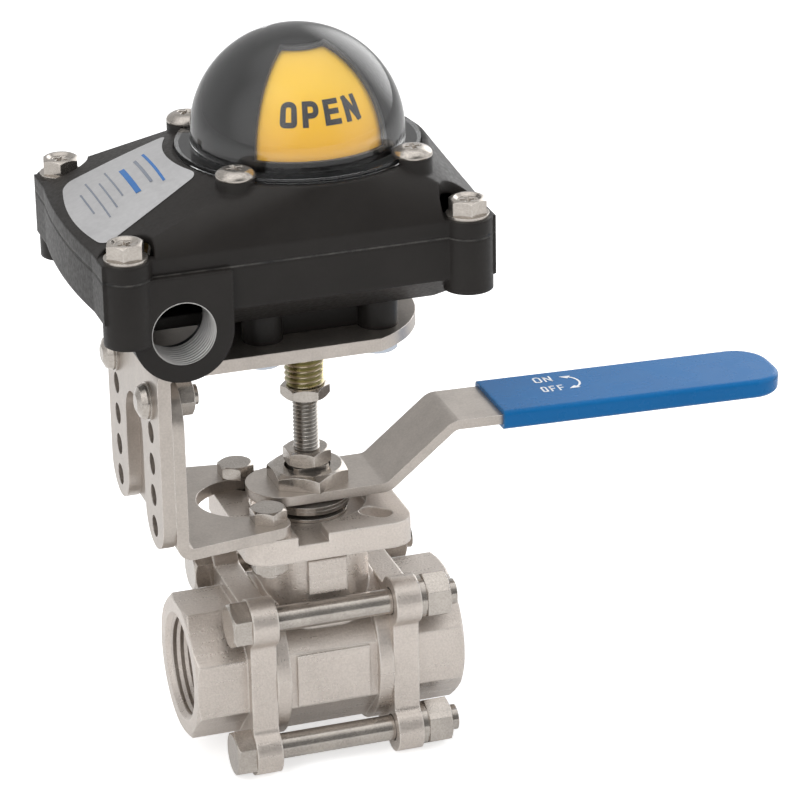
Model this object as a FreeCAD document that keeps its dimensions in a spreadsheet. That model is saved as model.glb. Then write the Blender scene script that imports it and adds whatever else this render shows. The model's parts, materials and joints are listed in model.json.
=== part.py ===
import FreeCAD, Part
import math
import os
import Sketcher

# A three-piece ball valve with a limit switch box on a bracket above it, in millimetres.
# Origin: centre of the ball. +X runs along the pipe, +Y to the back, +Z up the stem.

SIZES = (
    ("pipe_half_length", 42.5, "half of the valve's length over its pipe ends"),
    ("cap_flats", 41.6, "across the flats of a pipe end's octagon"),
    ("cap_rim_radius", 20.9, "round rim at the mouth of a pipe end"),
    ("cap_rim_bevel", 1.6, "length of the bevel behind that rim"),
    ("pipe_thread_radius", 15.146, "minor radius of the one inch pipe thread"),
    ("pipe_mouth_radius", 16.9, "countersunk mouth of the pipe thread"),
    ("pipe_mouth_depth", 1.8, "depth of that countersink"),
    ("pipe_thread_length", 17.0, "length of the pipe thread"),
    ("flow_radius", 12.5, "radius of the flow bore"),
    ("flange_thickness", 8.0, "thickness of a pipe end's bolted flange"),
    ("flange_flat", 24.5, "height of the flange's flats from the axis"),
    ("body_half_length", 18.5, "half of the middle body's length"),
    ("body_bolt_offset", 21.5, "body bolts, sideways and upwards from the axis"),
    ("ear_radius", 7.5, "radius of the flange's four bolt ears"),
    ("ear_fillet", 2.5, "fillet between an ear and the flange's flat"),
    ("body_bolt_radius", 3.9, "radius of a body bolt"),
    ("bolt_clearance", 0.35, "radial clearance of a bolt in its hole"),
    ("thread_play", 0.03, "radial play of a screw in its nut or tapped hole"),
    ("body_bolt_flats", 13.0, "across the flats of the body bolts' heads and nuts"),
    ("body_bolt_head", 5.9, "height of a body bolt's head"),
    ("body_nut_height", 7.6, "height of a body nut"),
    ("body_washer_height", 2.2, "height of a body bolt's spring washer"),
    ("body_washer_radius", 6.35, "outer radius of a body bolt's narrow spring washer"),
    ("bolt_end", 2.6, "thread that shows beyond a body nut"),
    ("ring_radius", 25.0, "radius of the middle body's end rings"),
    ("ring_width", 4.5, "width of an end ring"),
    ("barrel_flats", 44.0, "across the flats of the middle body's octagon"),
    ("panel_length", 23.0, "length of the raised front panel along the pipe"),
    ("panel_height", 17.0, "height of the raised front panel"),
    ("panel_raise", 1.0, "how far the front panel stands out"),
    ("cavity_radius", 19.3, "radius of the chamber round the ball"),
    ("ball_radius", 18.5, "radius of the ball"),
    ("seat_gap", 0.15, "gap between the ball and a seat's hollow face"),
    ("seat_play", 0.1, "gap between a seat and the chamber wall"),
    ("seat_length", 7.2, "length of a seat along the pipe"),
    ("seal_outer_radius", 22.8, "outer radius of a body seal"),
    ("seal_thickness", 0.9, "thickness of a body seal"),
    ("neck_length", 33.0, "length of the neck along the pipe"),
    ("neck_depth", 34.0, "depth of the neck from front to back"),
    ("neck_corner", 12.0, "radius of the neck's corners"),
    ("neck_boss_length", 12.0, "length of the small boss on the neck's front"),
    ("neck_boss_low", 26.5, "underside of that boss above the ball centre"),
    ("neck_boss_high", 37.5, "top of that boss above the ball centre"),
    ("neck_boss_raise", 2.2, "how far that boss stands out"),
    ("pad_side", 52.0, "side of the square mounting pad"),
    ("pad_top", 49.3, "top of the mounting pad above the ball centre"),
    ("pad_thickness", 8.0, "thickness of the mounting pad"),
    ("pad_corner", 7.0, "radius of the pad's corners"),
    ("pad_circle", 50.0, "bolt circle of the pad and of the box"),
    ("pad_slot", 4.0, "how far each pad hole is drawn in towards the smaller circle"),
    ("m6_hole_radius", 3.3, "clearance hole for the six millimetre screws"),
    ("recess_radius", 17.6, "radius of the recess in the pad's top"),
    ("recess_depth", 2.8, "depth of the recess in the pad's top"),
    ("notch_low", -11.0, "left end of the notch in the pad's front rim"),
    ("notch_high", -1.5, "right end of the notch in the pad's front rim"),
    ("stem_radius", 7.0, "radius of the stem"),
    ("stem_play", 0.05, "radial running clearance of the stem"),
    ("stem_square", 11.0, "across the flats of the stem's square"),
    ("square_play", 0.06, "clearance of the handle on the stem's square"),
    ("stem_top", 62.0, "top of the stem above the ball centre"),
    ("collar_radius", 10.0, "radius of the stem's inner collar"),
    ("collar_low", 18.8, "underside of the stem's collar"),
    ("collar_height", 2.4, "height of the stem's collar"),
    ("tongue_width", 8.0, "width of the tongue that turns the ball"),
    ("tongue_length", 13.0, "length of that tongue"),
    ("tongue_play", 0.15, "gap round the tongue in the ball's slot"),
    ("slot_floor", 13.6, "floor of the ball's slot above the ball centre"),
    ("packing_radius", 10.5, "radius of the packing chamber"),
    ("packing_low", 30.0, "floor of the packing chamber"),
    ("packing_height", 10.5, "height of the stem packing"),
    ("gland_top", 47.6, "top of the gland ring"),
    ("gland_flange_radius", 12.0, "radius of the gland ring's flange"),
    ("gland_flange_height", 1.0, "height of the gland ring's flange"),
    ("spring_washer_radius", 12.5, "outer radius of the disc springs under the handle"),
    ("spring_washer_thickness", 1.2, "thickness of one disc spring"),
    ("foot_thickness", 3.6, "thickness of the lower bracket's plate"),
    ("handle_gap", 0.35, "gap between the bracket's foot and the handle"),
    ("handle_thickness", 3.0, "thickness of the handle strip"),
    ("handle_width", 24.0, "width of the handle strip"),
    ("handle_tail", 19.1, "reach of the handle's tail behind the stem"),
    ("handle_tail_round", 11.5, "rounding of the handle's tail"),
    ("handle_low_bend", 22.5, "distance of the lower bend from the stem"),
    ("handle_high_bend", 43.7, "distance of the upper bend from the stem"),
    ("handle_rise", 17.0, "rise of the handle between its bends"),
    ("handle_droop", 2.6, "fall of the handle from the upper bend to its tip"),
    ("handle_tip", 150.4, "distance of the handle's tip from the stem"),
    ("handle_tip_round", 9.0, "rounding of the handle's tip"),
    ("handle_bend_radius", 3.0, "inner radius of the handle's bends"),
    ("sleeve_start", 58.6, "distance of the grip sleeve's mouth from the stem"),
    ("sleeve_wall", 1.5, "wall of the grip sleeve"),
    ("sleeve_round", 1.4, "rounding of the sleeve's long edges"),
    ("handle_nut_flats", 22.0, "across the flats of the handle nut"),
    ("handle_nut_height", 4.8, "height of the handle nut"),
    ("jam_flats", 13.0, "across the flats of the coupling's two jam nuts"),
    ("jam_height", 4.8, "height of the lower jam nut"),
    ("upper_jam_height", 4.0, "height of the upper jam nut"),
    ("stud_radius", 4.0, "radius of the coupling stud"),
    ("stud_low", 50.0, "lower end of the coupling stud, inside the stem"),
    ("stud_high", 101.0, "upper end of the coupling stud, inside the sleeve"),
    ("sleeve_low", 87.5, "lower end of the threaded coupling sleeve"),
    ("sleeve_high", 118.0, "upper end of the threaded coupling sleeve"),
    ("coupling_radius", 6.15, "radius of the threaded coupling sleeve"),
    ("bracket_thickness", 4.0, "thickness of the upper bracket's plate"),
    ("bracket_top", 111.0, "top of the upper bracket, where the box stands"),
    ("bracket_half_width", 30.0, "half of both brackets' width"),
    ("bracket_left", 53.0, "distance of the upper bracket's outer face from the stem"),
    ("bracket_right_radius", 33.5, "round right end of the upper bracket"),
    ("bracket_bend", 5.5, "outer radius of the upper bracket's bend"),
    ("leg_inner", 10.0, "half of the slot between the upper bracket's legs"),
    ("leg_bottom", 50.8, "round bottom of the upper bracket's legs"),
    ("leg_slot_top", 92.0, "top of the slot between the legs"),
    ("leg_hole_radius", 3.3, "radius of the holes in the legs"),
    ("leg_hole_top", 97.5, "height of the uppermost leg hole"),
    ("leg_hole_pitch", 10.0, "pitch of the leg holes"),
    ("leg_hole_count", 5, "holes in each leg"),
    ("bracket_centre_radius", 12.5, "hole round the box's shaft"),
    ("post_top", 104.5, "top of the lower bracket's upright"),
    ("post_corner", 14.0, "rounded upper corners of the upright"),
    ("foot_bend", 5.0, "outer radius of the lower bracket's bend"),
    ("foot_end", -12.0, "right end of the lower bracket's foot"),
    ("foot_end_half_width", 25.0, "half width of the foot at its right end"),
    ("foot_gap_half", 14.0, "half width of the round cut-out in the foot"),
    ("foot_gap_end", 34.6, "reach of that cut-out to the left of the stem"),
    ("foot_prong_round", 4.5, "rounding of the foot's prongs"),
    ("side_screw_offset", 20.0, "side screws, to the front and back of the stem"),
    ("side_head_radius", 5.3, "radius of a side screw's button head"),
    ("side_head_height", 3.3, "height of a side screw's button head"),
    ("toothed_washer_radius", 5.7, "radius of the toothed washer under that head"),
    ("toothed_washer_height", 0.9, "height of that washer"),
    ("m6_radius", 3.0, "radius of the six millimetre screws"),
    ("m6_flats", 10.0, "across the flats of their heads and nuts"),
    ("m6_head", 4.0, "height of a six millimetre screw's head"),
    ("m6_nut", 5.0, "height of a six millimetre nut"),
    ("m6_end", 1.5, "thread that shows beyond a six millimetre nut"),
    ("m6_length_in_box", 9.0, "depth of the fixing screws in the box's bosses"),
    ("parting", 143.5, "parting plane of the box above the ball centre"),
    ("box_half_depth", 41.0, "front and back walls of the box"),
    ("box_left", 70.0, "left wall of the box, from the stem"),
    ("box_right", 46.6, "right wall of the box, from the stem"),
    ("box_bulge", 1.8, "how far the end walls swell at their middle"),
    ("box_bulge_half", 29.0, "half of the length of that swelling"),
    ("lug_left", -62.4, "left cover bolts"),
    ("lug_right", 39.0, "right cover bolts"),
    ("lug_offset", 38.2, "cover bolts, to the front and back"),
    ("lug_radius", 7.3, "radius of the corner lugs"),
    ("lug_drop_left", 19.5, "height of the left lugs below the parting plane"),
    ("lug_drop_right", 16.5, "height of the right lugs below the parting plane"),
    ("wall", 3.2, "wall of the box"),
    ("band_height", 12.5, "upright wall of the base below the parting plane"),
    ("belly_bottom", 121.0, "underside of the base's sloping belly"),
    ("belly_left", 52.0, "left edge of the belly's underside"),
    ("belly_right", 32.0, "right edge of the belly's underside"),
    ("belly_half_depth", 27.0, "front and back edges of the belly's underside"),
    ("floor", 124.2, "inner floor of the base"),
    ("pedestal_half", 17.0, "half side of the pedestal under the belly"),
    ("standoff_radius", 6.0, "radius of the pedestal's four corner bosses"),
    ("conduit_x", -47.6, "middle of the cable entry"),
    ("conduit_z", 126.3, "height of the cable entry"),
    ("conduit_face", 43.0, "faces of the cable entries from the stem"),
    ("conduit_boss_radius", 14.8, "radius of the cable entry's boss"),
    ("conduit_radius", 9.2, "minor radius of the twenty millimetre entry thread"),
    ("conduit_relief", 0.8, "relief behind that thread, beyond its minor radius"),
    ("conduit_depth", 17.0, "length of the cable entry's thread"),
    ("gasket_thickness", 0.5, "thickness of the cover gasket"),
    ("cover_rim", 5.4, "upright rim of the cover"),
    ("seat_ring_radius", 38.0, "round seat at the top of the cover's slopes"),
    ("seat_ring_top", 163.4, "top of that round seat"),
    ("seat_plane", 162.5, "floor of the seat, where the dome's seal lies"),
    ("cover_ceiling", 159.3, "inner ceiling of the cover"),
    ("bolt_pocket_radius", 8.2, "round pocket about each cover bolt"),
    ("cover_bolt_radius", 3.0, "radius of a cover bolt"),
    ("cover_bolt_depth", 13.0, "how far a cover bolt reaches into the base"),
    ("cover_washer_radius", 6.3, "radius of a cover bolt's washer"),
    ("cover_washer_height", 1.0, "height of a cover bolt's washer"),
    ("cover_head_height", 4.6, "height of a cover bolt's head"),
    ("dome_post_offset", 26.5, "dome screws, sideways and to the front and back"),
    ("dome_post_radius", 5.8, "radius of the posts that carry the dome screws"),
    ("dome_radius", 31.5, "outer radius of the clear dome"),
    ("dome_wall", 2.0, "wall of the clear dome"),
    ("dome_flange_radius", 36.0, "radius of the dome's flange"),
    ("dome_flange_bottom", 163.5, "underside of the dome's flange"),
    ("dome_flange_thickness", 1.5, "thickness of the dome's flange"),
    ("dome_centre", 167.5, "centre of the dome's sphere"),
    ("dome_play", 0.3, "gap between the dome's flange and the seat ring"),
    ("dome_screw_radius", 2.0, "radius of a dome screw"),
    ("dome_head_radius", 5.9, "radius of a dome screw's pan head"),
    ("dome_head_height", 2.9, "height of a dome screw's pan head"),
    ("dome_screw_depth", 9.0, "length of a dome screw below its head"),
    ("dome_seal_inner", 30.5, "inner radius of the dome seal"),
    ("dome_seal_outer", 34.8, "outer radius of the dome seal"),
    ("mask_radius", 28.9, "outer radius of the black indicator mask"),
    ("mask_wall", 1.0, "wall of the indicator mask"),
    ("window_half_angle", 41.0, "half of the window's width about the stem, in degrees"),
    ("window_top_radius", 9.2, "distance of the window's upper edge from the stem"),
    ("rotor_radius", 27.4, "outer radius of the turning indicator"),
    ("rotor_wall", 1.6, "wall of the turning indicator"),
    ("rotor_bottom", 164.5, "lower rim of the turning indicator"),
    ("rotor_hub_radius", 9.0, "radius of the turning indicator's hub"),
    ("rotor_hub_height", 8.0, "height of the turning indicator's hub"),
    ("shaft_bottom", 99.0, "lower end of the box's shaft"),
    ("shaft_journal_radius", 8.5, "journal of the shaft in the base"),
    ("journal_top", 130.9, "top of the shaft's journal, under the cams"),
    ("shaft_radius", 6.0, "shaft above the cams"),
    ("shaft_top", 171.0, "upper end of the shaft, under the indicator's screw"),
    ("indicator_screw_depth", 7.0, "depth of the indicator's screw in the shaft"),
    ("indicator_washer_height", 1.2, "height of the washer under that screw's head"),
    ("shaft_bore_top", 119.0, "end of the tapped bore in the shaft's foot"),
    ("shaft_play", 0.05, "running clearance of the shaft in its bearings"),
    ("bush_wall", 2.5, "wall of the shaft's bush"),
    ("bush_bottom", 112.0, "lower end of the shaft's bush"),
    ("oring_section", 1.0, "half of the thickness of the shaft's seal ring"),
    ("oring_inset", 8.9, "middle of the shaft's seal ring below the top of the journal"),
    ("circlip_bottom", 124.8, "underside of the shaft's retaining ring"),
    ("circlip_height", 1.0, "height of the retaining ring"),
    ("circlip_depth", 0.9, "depth of the retaining ring's groove"),
    ("circlip_radius", 10.8, "outer radius of the retaining ring"),
    ("circlip_gap", 5.0, "gap between the ends of the retaining ring"),
    ("shaft_flat", 10.2, "across the two flats that turn the cams"),
    ("cam_play", 0.05, "clearance of a cam on the shaft"),
    ("cam_height", 6.0, "height of a cam"),
    ("cam_high_radius", 9.0, "radius of a cam's nose"),
    ("cam_low_radius", 7.6, "radius of the rest of a cam"),
    ("cam_nose_angle", 36.0, "width of a cam's nose, in degrees"),
    ("cam_ramp_angle", 14.0, "width of each ramp beside the nose, in degrees"),
    ("open_cam_bottom", 131.0, "underside of the lower cam"),
    ("cam_pitch", 10.6, "height between the two cams and the two switches"),
    ("cam_spring_thickness", 0.6, "thickness of the spring disc between the cams"),
    ("plate_thickness", 1.2, "thickness of the switch plate"),
    ("plate_left", 38.0, "left edge of the switch plate"),
    ("plate_right", 24.0, "right edge of the switch plate"),
    ("plate_half_depth", 22.0, "front and back edges of the switch plate"),
    ("plate_hole_radius", 12.0, "hole in the switch plate round the shaft"),
    ("plate_corner", 3.0, "radius of the switch plate's corners"),
    ("pillar_radius", 3.5, "radius of the four pillars under the switch plate"),
    ("pillar_x", 18.5, "pillars, to each side of the switch plate's middle"),
    ("pillar_y", 17.5, "pillars, to the front and back"),
    ("plate_screw_radius", 1.5, "radius of the small screws"),
    ("plate_screw_head", 2.8, "radius of the small screws' heads"),
    ("plate_screw_height", 1.8, "height of the small screws' heads"),
    ("switch_face", 16.0, "face of the switches, left of the shaft"),
    ("switch_length", 27.8, "length of a switch from front to back"),
    ("switch_height", 15.6, "height of a switch from its face to its back"),
    ("switch_thickness", 10.2, "thickness of a switch"),
    ("switch_screw_pitch", 22.2, "pitch of the two screws through the switches"),
    ("switch_screw_inset", 12.6, "switch screws behind the switches' face"),
    ("pivot_x", 14.9, "pivot of a switch lever, left of the shaft"),
    ("pivot_y", 11.5, "pivot of a switch lever, in front of the shaft"),
    ("lever_length", 11.5, "switch lever, from its pivot to its bump"),
    ("lever_thickness", 0.6, "thickness of a switch lever"),
    ("lever_width", 4.0, "width of a switch lever"),
    ("lever_eye_radius", 1.0, "radius of a switch lever's eye, and half of its ears"),
    ("pivot_pin_radius", 0.5, "radius of the pin that carries a switch lever"),
    ("ear_thickness", 0.8, "thickness of the two ears beside a switch lever"),
    ("ear_gap", 0.1, "gap between an ear and its lever"),
    ("bump_radius", 2.2, "radius of a switch lever's bump"),
    ("bump_gap", 0.08, "gap between a bump and its cam"),
    ("terminal_left", -31.0, "left end of the terminal block"),
    ("terminal_length", 52.0, "length of the terminal block"),
    ("terminal_front", 24.0, "front face of the terminal block"),
    ("terminal_depth", 12.0, "depth of the terminal block"),
    ("terminal_height", 10.0, "height of the terminal block"),
    ("terminal_step", 4.0, "height of the terminal block's front step"),
    ("terminal_count", 7, "screws in the terminal block"),
    ("terminal_shelf", 131.2, "shelf that carries the terminal block"),
    ("button_place", 4.8, "a switch's button, from the lever's pivot"),
    ("button_radius", 1.4, "radius of a switch's button"),
    ("button_depth", 4.0, "depth of the button's hole in the switch"),
    ("button_inside", 2.0, "length of the button inside its hole"),
    ("blade_pitch", 8.6, "pitch of a switch's three blades"),
    ("blade_length", 4.0, "length of a switch's blades"),
    ("button_play", 0.1, "radial play of a switch's button in its hole"),
    ("plug_length", 12.0, "length of the blanking plug's thread"),
    ("plug_key", 8.0, "across the flats of the plug's key recess"),
)


class Size:
    """A number of the sheet, or a sum or product of such numbers, with its expression."""

    def __init__(self, number, text):
        self.number = float(number)
        self.text = text

    def __add__(self, other):
        other = as_size(other)
        return Size(self.number + other.number, "(%s + %s)" % (self.text, other.text))

    def __radd__(self, other):
        return as_size(other) + self

    def __sub__(self, other):
        other = as_size(other)
        return Size(self.number - other.number, "(%s - %s)" % (self.text, other.text))

    def __rsub__(self, other):
        return as_size(other) - self

    def __mul__(self, other):
        other = as_size(other)
        return Size(self.number * other.number, "(%s * %s)" % (self.text, other.text))

    def __rmul__(self, other):
        return as_size(other) * self

    def __truediv__(self, other):
        other = as_size(other)
        return Size(self.number / other.number, "(%s / %s)" % (self.text, other.text))

    def __neg__(self):
        return Size(-self.number, "(0 - %s)" % self.text)


def as_size(value):
    """Return a plain number as a Size, and a Size as it is."""
    if isinstance(value, Size):
        return value
    return Size(value, "%.10g" % value if value >= 0 else "(0 - %.10g)" % -value)


def root(size):
    """Return the square root of a size."""
    return Size(math.sqrt(size.number), "sqrt(%s)" % size.text)


def sine(size):
    """Return the sine of a size in degrees."""
    return Size(math.sin(math.radians(size.number)), "sin(%s)" % size.text)


def cosine(size):
    """Return the cosine of a size in degrees."""
    return Size(math.cos(math.radians(size.number)), "cos(%s)" % size.text)


def arc_cosine(size):
    """Return the angle in degrees with this cosine."""
    return Size(math.degrees(math.acos(size.number)), "(acos(%s) / 1 deg)" % size.text)


def arc_tangent(size):
    """Return the angle in degrees with this tangent."""
    return Size(math.degrees(math.atan(size.number)), "(atan(%s) / 1 deg)" % size.text)


class Sizes:
    """The sheet of driving dimensions, read by name."""

    def __init__(self, document, table):
        self.sheet = document.addObject("Spreadsheet::Sheet", "Sizes")
        for row, (name, number, meaning) in enumerate(table, start=1):
            self.sheet.set("A%d" % row, meaning)
            self.sheet.set("B%d" % row, "%s" % number)
            self.sheet.setAlias("B%d" % row, name)
        document.recompute()

    def __getattr__(self, name):
        return Size(getattr(self.sheet, name), "Sizes.%s" % name)


doc = FreeCAD.newDocument("ValveLimitSwitchBox")
S = Sizes(doc, SIZES)
NODES = []

ZERO = as_size(0)
THIRTY_DEGREES = math.radians(30)
# Shares of a hexagon's width across its flats: where its bevel begins, and beyond its corners.
BEVEL_CIRCLE = 0.475
BEYOND_CORNERS = 0.6
# Half the side of an eight-sided section, as a share of half its height.
EIGHTH_CORNER = math.tan(math.pi / 8)


def recompute(feature):
    """Recompute the document and stop if the feature failed."""
    doc.recompute()
    if "Invalid" in feature.State or "Error" in feature.State:
        raise RuntimeError("%s could not be made" % feature.Label)


def new_body(label, is_node=True):
    """Return a new body. A node is written to a file of its own."""
    body = doc.addObject("PartDesign::Body", label)
    body.Label = label
    body.AllowCompound = True
    if is_node:
        NODES.append(body)
    return body


def sketch_on(body, plane, offset=None):
    """Return a sketch on one of the body's origin planes, moved along the plane's normal."""
    sketch = body.newObject("Sketcher::SketchObject", "%s_outline" % body.Name)
    support = [item for item in body.Origin.OriginFeatures if item.Role == plane]
    sketch.AttachmentSupport = [(support[0], "")]
    sketch.MapMode = "FlatFace"
    if offset is not None:
        offset = as_size(offset)
        sketch.AttachmentOffset = FreeCAD.Placement(
            FreeCAD.Vector(0, 0, offset.number), FreeCAD.Rotation())
        sketch.setExpression("AttachmentOffset.Base.z", offset.text)
    return sketch


def fix_point(sketch, geometry, point, x, y):
    """Tie one point of a sketch to its place on the sheet."""
    for kind, size in (("DistanceX", x), ("DistanceY", y)):
        constraint = Sketcher.Constraint(kind, -1, 1, geometry, point, size.number)
        index = sketch.addConstraint(constraint)
        if "Sizes." in size.text:
            sketch.setExpression("Constraints[%d]" % index, size.text)


def fix_radius(sketch, geometry, radius):
    """Tie the radius of a circle or arc to the sheet."""
    index = sketch.addConstraint(Sketcher.Constraint("Radius", geometry, radius.number))
    if "Sizes." in radius.text:
        sketch.setExpression("Constraints[%d]" % index, radius.text)


def draw_outline(sketch, corners):
    """Draw a closed outline. A corner is (x, y), or (x, y, radius) where an arc leaves it.

    A positive radius turns to the left on the way to the next corner, a negative one to the
    right, and no arc is longer than a quarter turn or so.
    """
    corners = [tuple(as_size(value) for value in corner) for corner in corners]
    ends = []
    for corner, following in zip(corners, corners[1:] + corners[:1]):
        start = FreeCAD.Vector(corner[0].number, corner[1].number, 0)
        end = FreeCAD.Vector(following[0].number, following[1].number, 0)
        if len(corner) == 2:
            geometry = sketch.addGeometry(Part.LineSegment(start, end))
            ends.append((geometry, 1, 2))
            continue
        turn = 1 if corner[2].number > 0 else -1
        radius = abs(corner[2].number)
        chord = end - start
        side = FreeCAD.Vector(-chord.y, chord.x, 0).normalize() * turn
        height = math.sqrt(max(radius ** 2 - (chord.Length / 2) ** 2, 0))
        centre = (start + end) * 0.5 + side * height
        from_angle = math.atan2(start.y - centre.y, start.x - centre.x)
        to_angle = math.atan2(end.y - centre.y, end.x - centre.x)
        circle = Part.Circle(centre, FreeCAD.Vector(0, 0, 1), radius)
        if turn > 0:
            geometry = sketch.addGeometry(Part.ArcOfCircle(circle, from_angle, to_angle))
            ends.append((geometry, 1, 2))
        else:
            geometry = sketch.addGeometry(Part.ArcOfCircle(circle, to_angle, from_angle))
            ends.append((geometry, 2, 1))
    for index, (geometry, start_point, end_point) in enumerate(ends):
        following = ends[(index + 1) % len(ends)]
        sketch.addConstraint(
            Sketcher.Constraint("Coincident", geometry, end_point, following[0], following[1]))
    for index, corner in enumerate(corners):
        geometry, start_point, end_point = ends[index]
        fix_point(sketch, geometry, start_point, corner[0], corner[1])
        if len(corner) == 3:
            radius = corner[2] if corner[2].number > 0 else -corner[2]
            fix_radius(sketch, geometry, radius)


def draw_circle(sketch, x, y, radius):
    """Draw a circle tied to the sheet."""
    x, y, radius = as_size(x), as_size(y), as_size(radius)
    centre = FreeCAD.Vector(x.number, y.number, 0)
    circle = Part.Circle(centre, FreeCAD.Vector(0, 0, 1), radius.number)
    geometry = sketch.addGeometry(circle)
    fix_point(sketch, geometry, 3, x, y)
    fix_radius(sketch, geometry, radius)


def polygon(flats, sides, x=0, y=0, turn=0.0):
    """Return the corners of a regular polygon. With turn 0 a flat faces the first axis."""
    radius = as_size(flats) / (2 * math.cos(math.pi / sides))
    corners = []
    for index in range(sides):
        angle = math.radians(turn) + math.pi * (2 * index + 1) / sides
        corners.append((x + radius * math.cos(angle), y + radius * math.sin(angle)))
    return corners


def rectangle(left, low, right, high):
    """Return the four corners of a rectangle."""
    return [(left, low), (right, low), (right, high), (left, high)]


def rounded_rectangle(left, low, right, high, radius):
    """Return the corners of a rectangle with quarter arcs at its corners."""
    return [
        (left + radius, low), (right - radius, low, radius),
        (right, low + radius), (right, high - radius, radius),
        (right - radius, high), (left + radius, high, radius),
        (left, high - radius), (left, low + radius, radius)]


def add_feature(body, kind, sketch, **options):
    """Add a feature to a body and check that it changed the body."""
    before = body.Shape.Volume if body.Shape and not body.Shape.isNull() else 0
    feature = body.newObject("PartDesign::%s" % kind, "%s_%s" % (body.Name, kind.lower()))
    if sketch is not None:
        feature.Profile = sketch
    for name, value in options.items():
        if isinstance(value, Size):
            feature.setExpression(name, value.text)
        else:
            setattr(feature, name, value)
    body.Tip = feature
    recompute(feature)
    if abs(body.Shape.Volume - before) < 1e-6:
        raise RuntimeError("%s changed nothing in %s" % (feature.Label, body.Label))
    return feature


def pad(body, sketch, length, both_ways=False, reverse=False):
    """Pad a sketch along its normal."""
    return add_feature(
        body, "Pad", sketch, Length=as_size(length), Midplane=both_ways, Reversed=reverse)


def pocket(body, sketch, length=None, both_ways=False, reverse=False):
    """Cut a sketch into the body, against its normal, by a depth or right through."""
    options = {"Midplane": both_ways, "Reversed": reverse}
    if length is None:
        options["Type"] = "ThroughAll"
    else:
        options["Length"] = as_size(length)
    return add_feature(body, "Pocket", sketch, **options)


def turn_about(body, corners, axis, plane="XZ_Plane", cut=False):
    """Revolve an outline about the first (H) or second (V) axis of its plane."""
    sketch = sketch_on(body, plane)
    draw_outline(sketch, corners)
    kind = "Groove" if cut else "Revolution"
    return add_feature(
        body, kind, sketch, Angle=360.0, ReferenceAxis=(sketch, ["%s_Axis" % axis]))


def turned(label, corners, axis="V", is_node=True):
    """Return a body made by one revolve of (radius, height) corners about the stem axis."""
    body = new_body(label, is_node)
    turn_about(body, corners, axis)
    return body


def tube(inner, outer, low, high):
    """Return the corners of a tube's half section, for a revolve."""
    return rectangle(inner, low, outer, high)


def pick_edges(shape, test):
    """Return the names of the edges that pass a test."""
    return ["Edge%d" % index for index, edge in enumerate(shape.Edges, start=1) if test(edge)]


def round_edges(body, radius, test):
    """Fillet the edges that pass a test."""
    tip = body.Tip
    names = pick_edges(tip.Shape, test)
    if not names:
        raise RuntimeError("no edge to round in %s" % body.Label)
    return add_feature(body, "Fillet", None, Base=(tip, names), Radius=as_size(radius))


def runs_along(edge, axis):
    """Tell whether an edge is straight and runs along the axis 0, 1 or 2."""
    if edge.Curve.TypeId != "Part::GeomLine":
        return False
    direction = edge.Vertexes[0].Point - edge.Vertexes[-1].Point
    return abs(abs(direction.normalize()[axis]) - 1) < 1e-6


def near(value, size, slack=0.05):
    """Tell whether a measured coordinate is at a size."""
    return abs(value - as_size(size).number) < slack


def bevel_hexagon(body, flats, face, outward):
    """Cut the thirty degree bevel of a hexagon's corners at its outer face."""
    flats, face = as_size(flats), as_size(face)
    inner = flats * BEVEL_CIRCLE
    outer = flats * BEYOND_CORNERS
    drop = (outer - inner) * math.tan(THIRTY_DEGREES) * outward
    turn_about(body, [(inner, face), (outer, face), (outer, face - drop)], "V", cut=True)


def hexagon_screw(label, flats, head, radius, length, is_node=False, turn=0.0):
    """Return a hexagon screw: head above the height 0, thread below it."""
    body = new_body(label, is_node)
    sketch = sketch_on(body, "XY_Plane")
    draw_outline(sketch, polygon(flats, 6, turn=turn))
    pad(body, sketch, head)
    bevel_hexagon(body, flats, head, 1)
    shank = sketch_on(body, "XY_Plane")
    draw_circle(shank, 0, 0, radius)
    pad(body, shank, length, reverse=True)
    return body


def hexagon_nut(label, flats, height, bore, is_node=False, turn=0.0, two_bevels=False, low=0):
    """Return a hexagon nut that stands on the height low."""
    body = new_body(label, is_node)
    sketch = sketch_on(body, "XY_Plane", low)
    draw_outline(sketch, polygon(flats, 6, turn=turn))
    draw_circle(sketch, 0, 0, bore)
    pad(body, sketch, height)
    bevel_hexagon(body, flats, low + height, 1)
    if two_bevels:
        bevel_hexagon(body, flats, low, -1)
    return body


def place(item, x, y, z, rotation=None):
    """Place an object, with each coordinate tied to the sheet."""
    item.Placement = FreeCAD.Placement(
        FreeCAD.Vector(*(as_size(value).number for value in (x, y, z))),
        rotation or FreeCAD.Rotation())
    for name, value in zip("xyz", (x, y, z)):
        item.setExpression("Placement.Base.%s" % name, as_size(value).text)


def group_of(label, master, places, rotation=None):
    """Return one node of equal pieces: a link to the master at each place."""
    links = []
    for index, (x, y, z) in enumerate(places, start=1):
        link = doc.addObject("App::Link", "%s_%d" % (label, index))
        link.LinkedObject = master
        place(link, x, y, z, rotation)
        links.append(link)
    group = doc.addObject("Part::Compound", label)
    group.Label = label
    group.Links = links
    recompute(group)
    NODES.append(group)
    return group


def four(x, y, z):
    """Return the four places at plus and minus x and y."""
    return [(x * sx, y * sy, z) for sx in (-1, 1) for sy in (-1, 1)]


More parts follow.
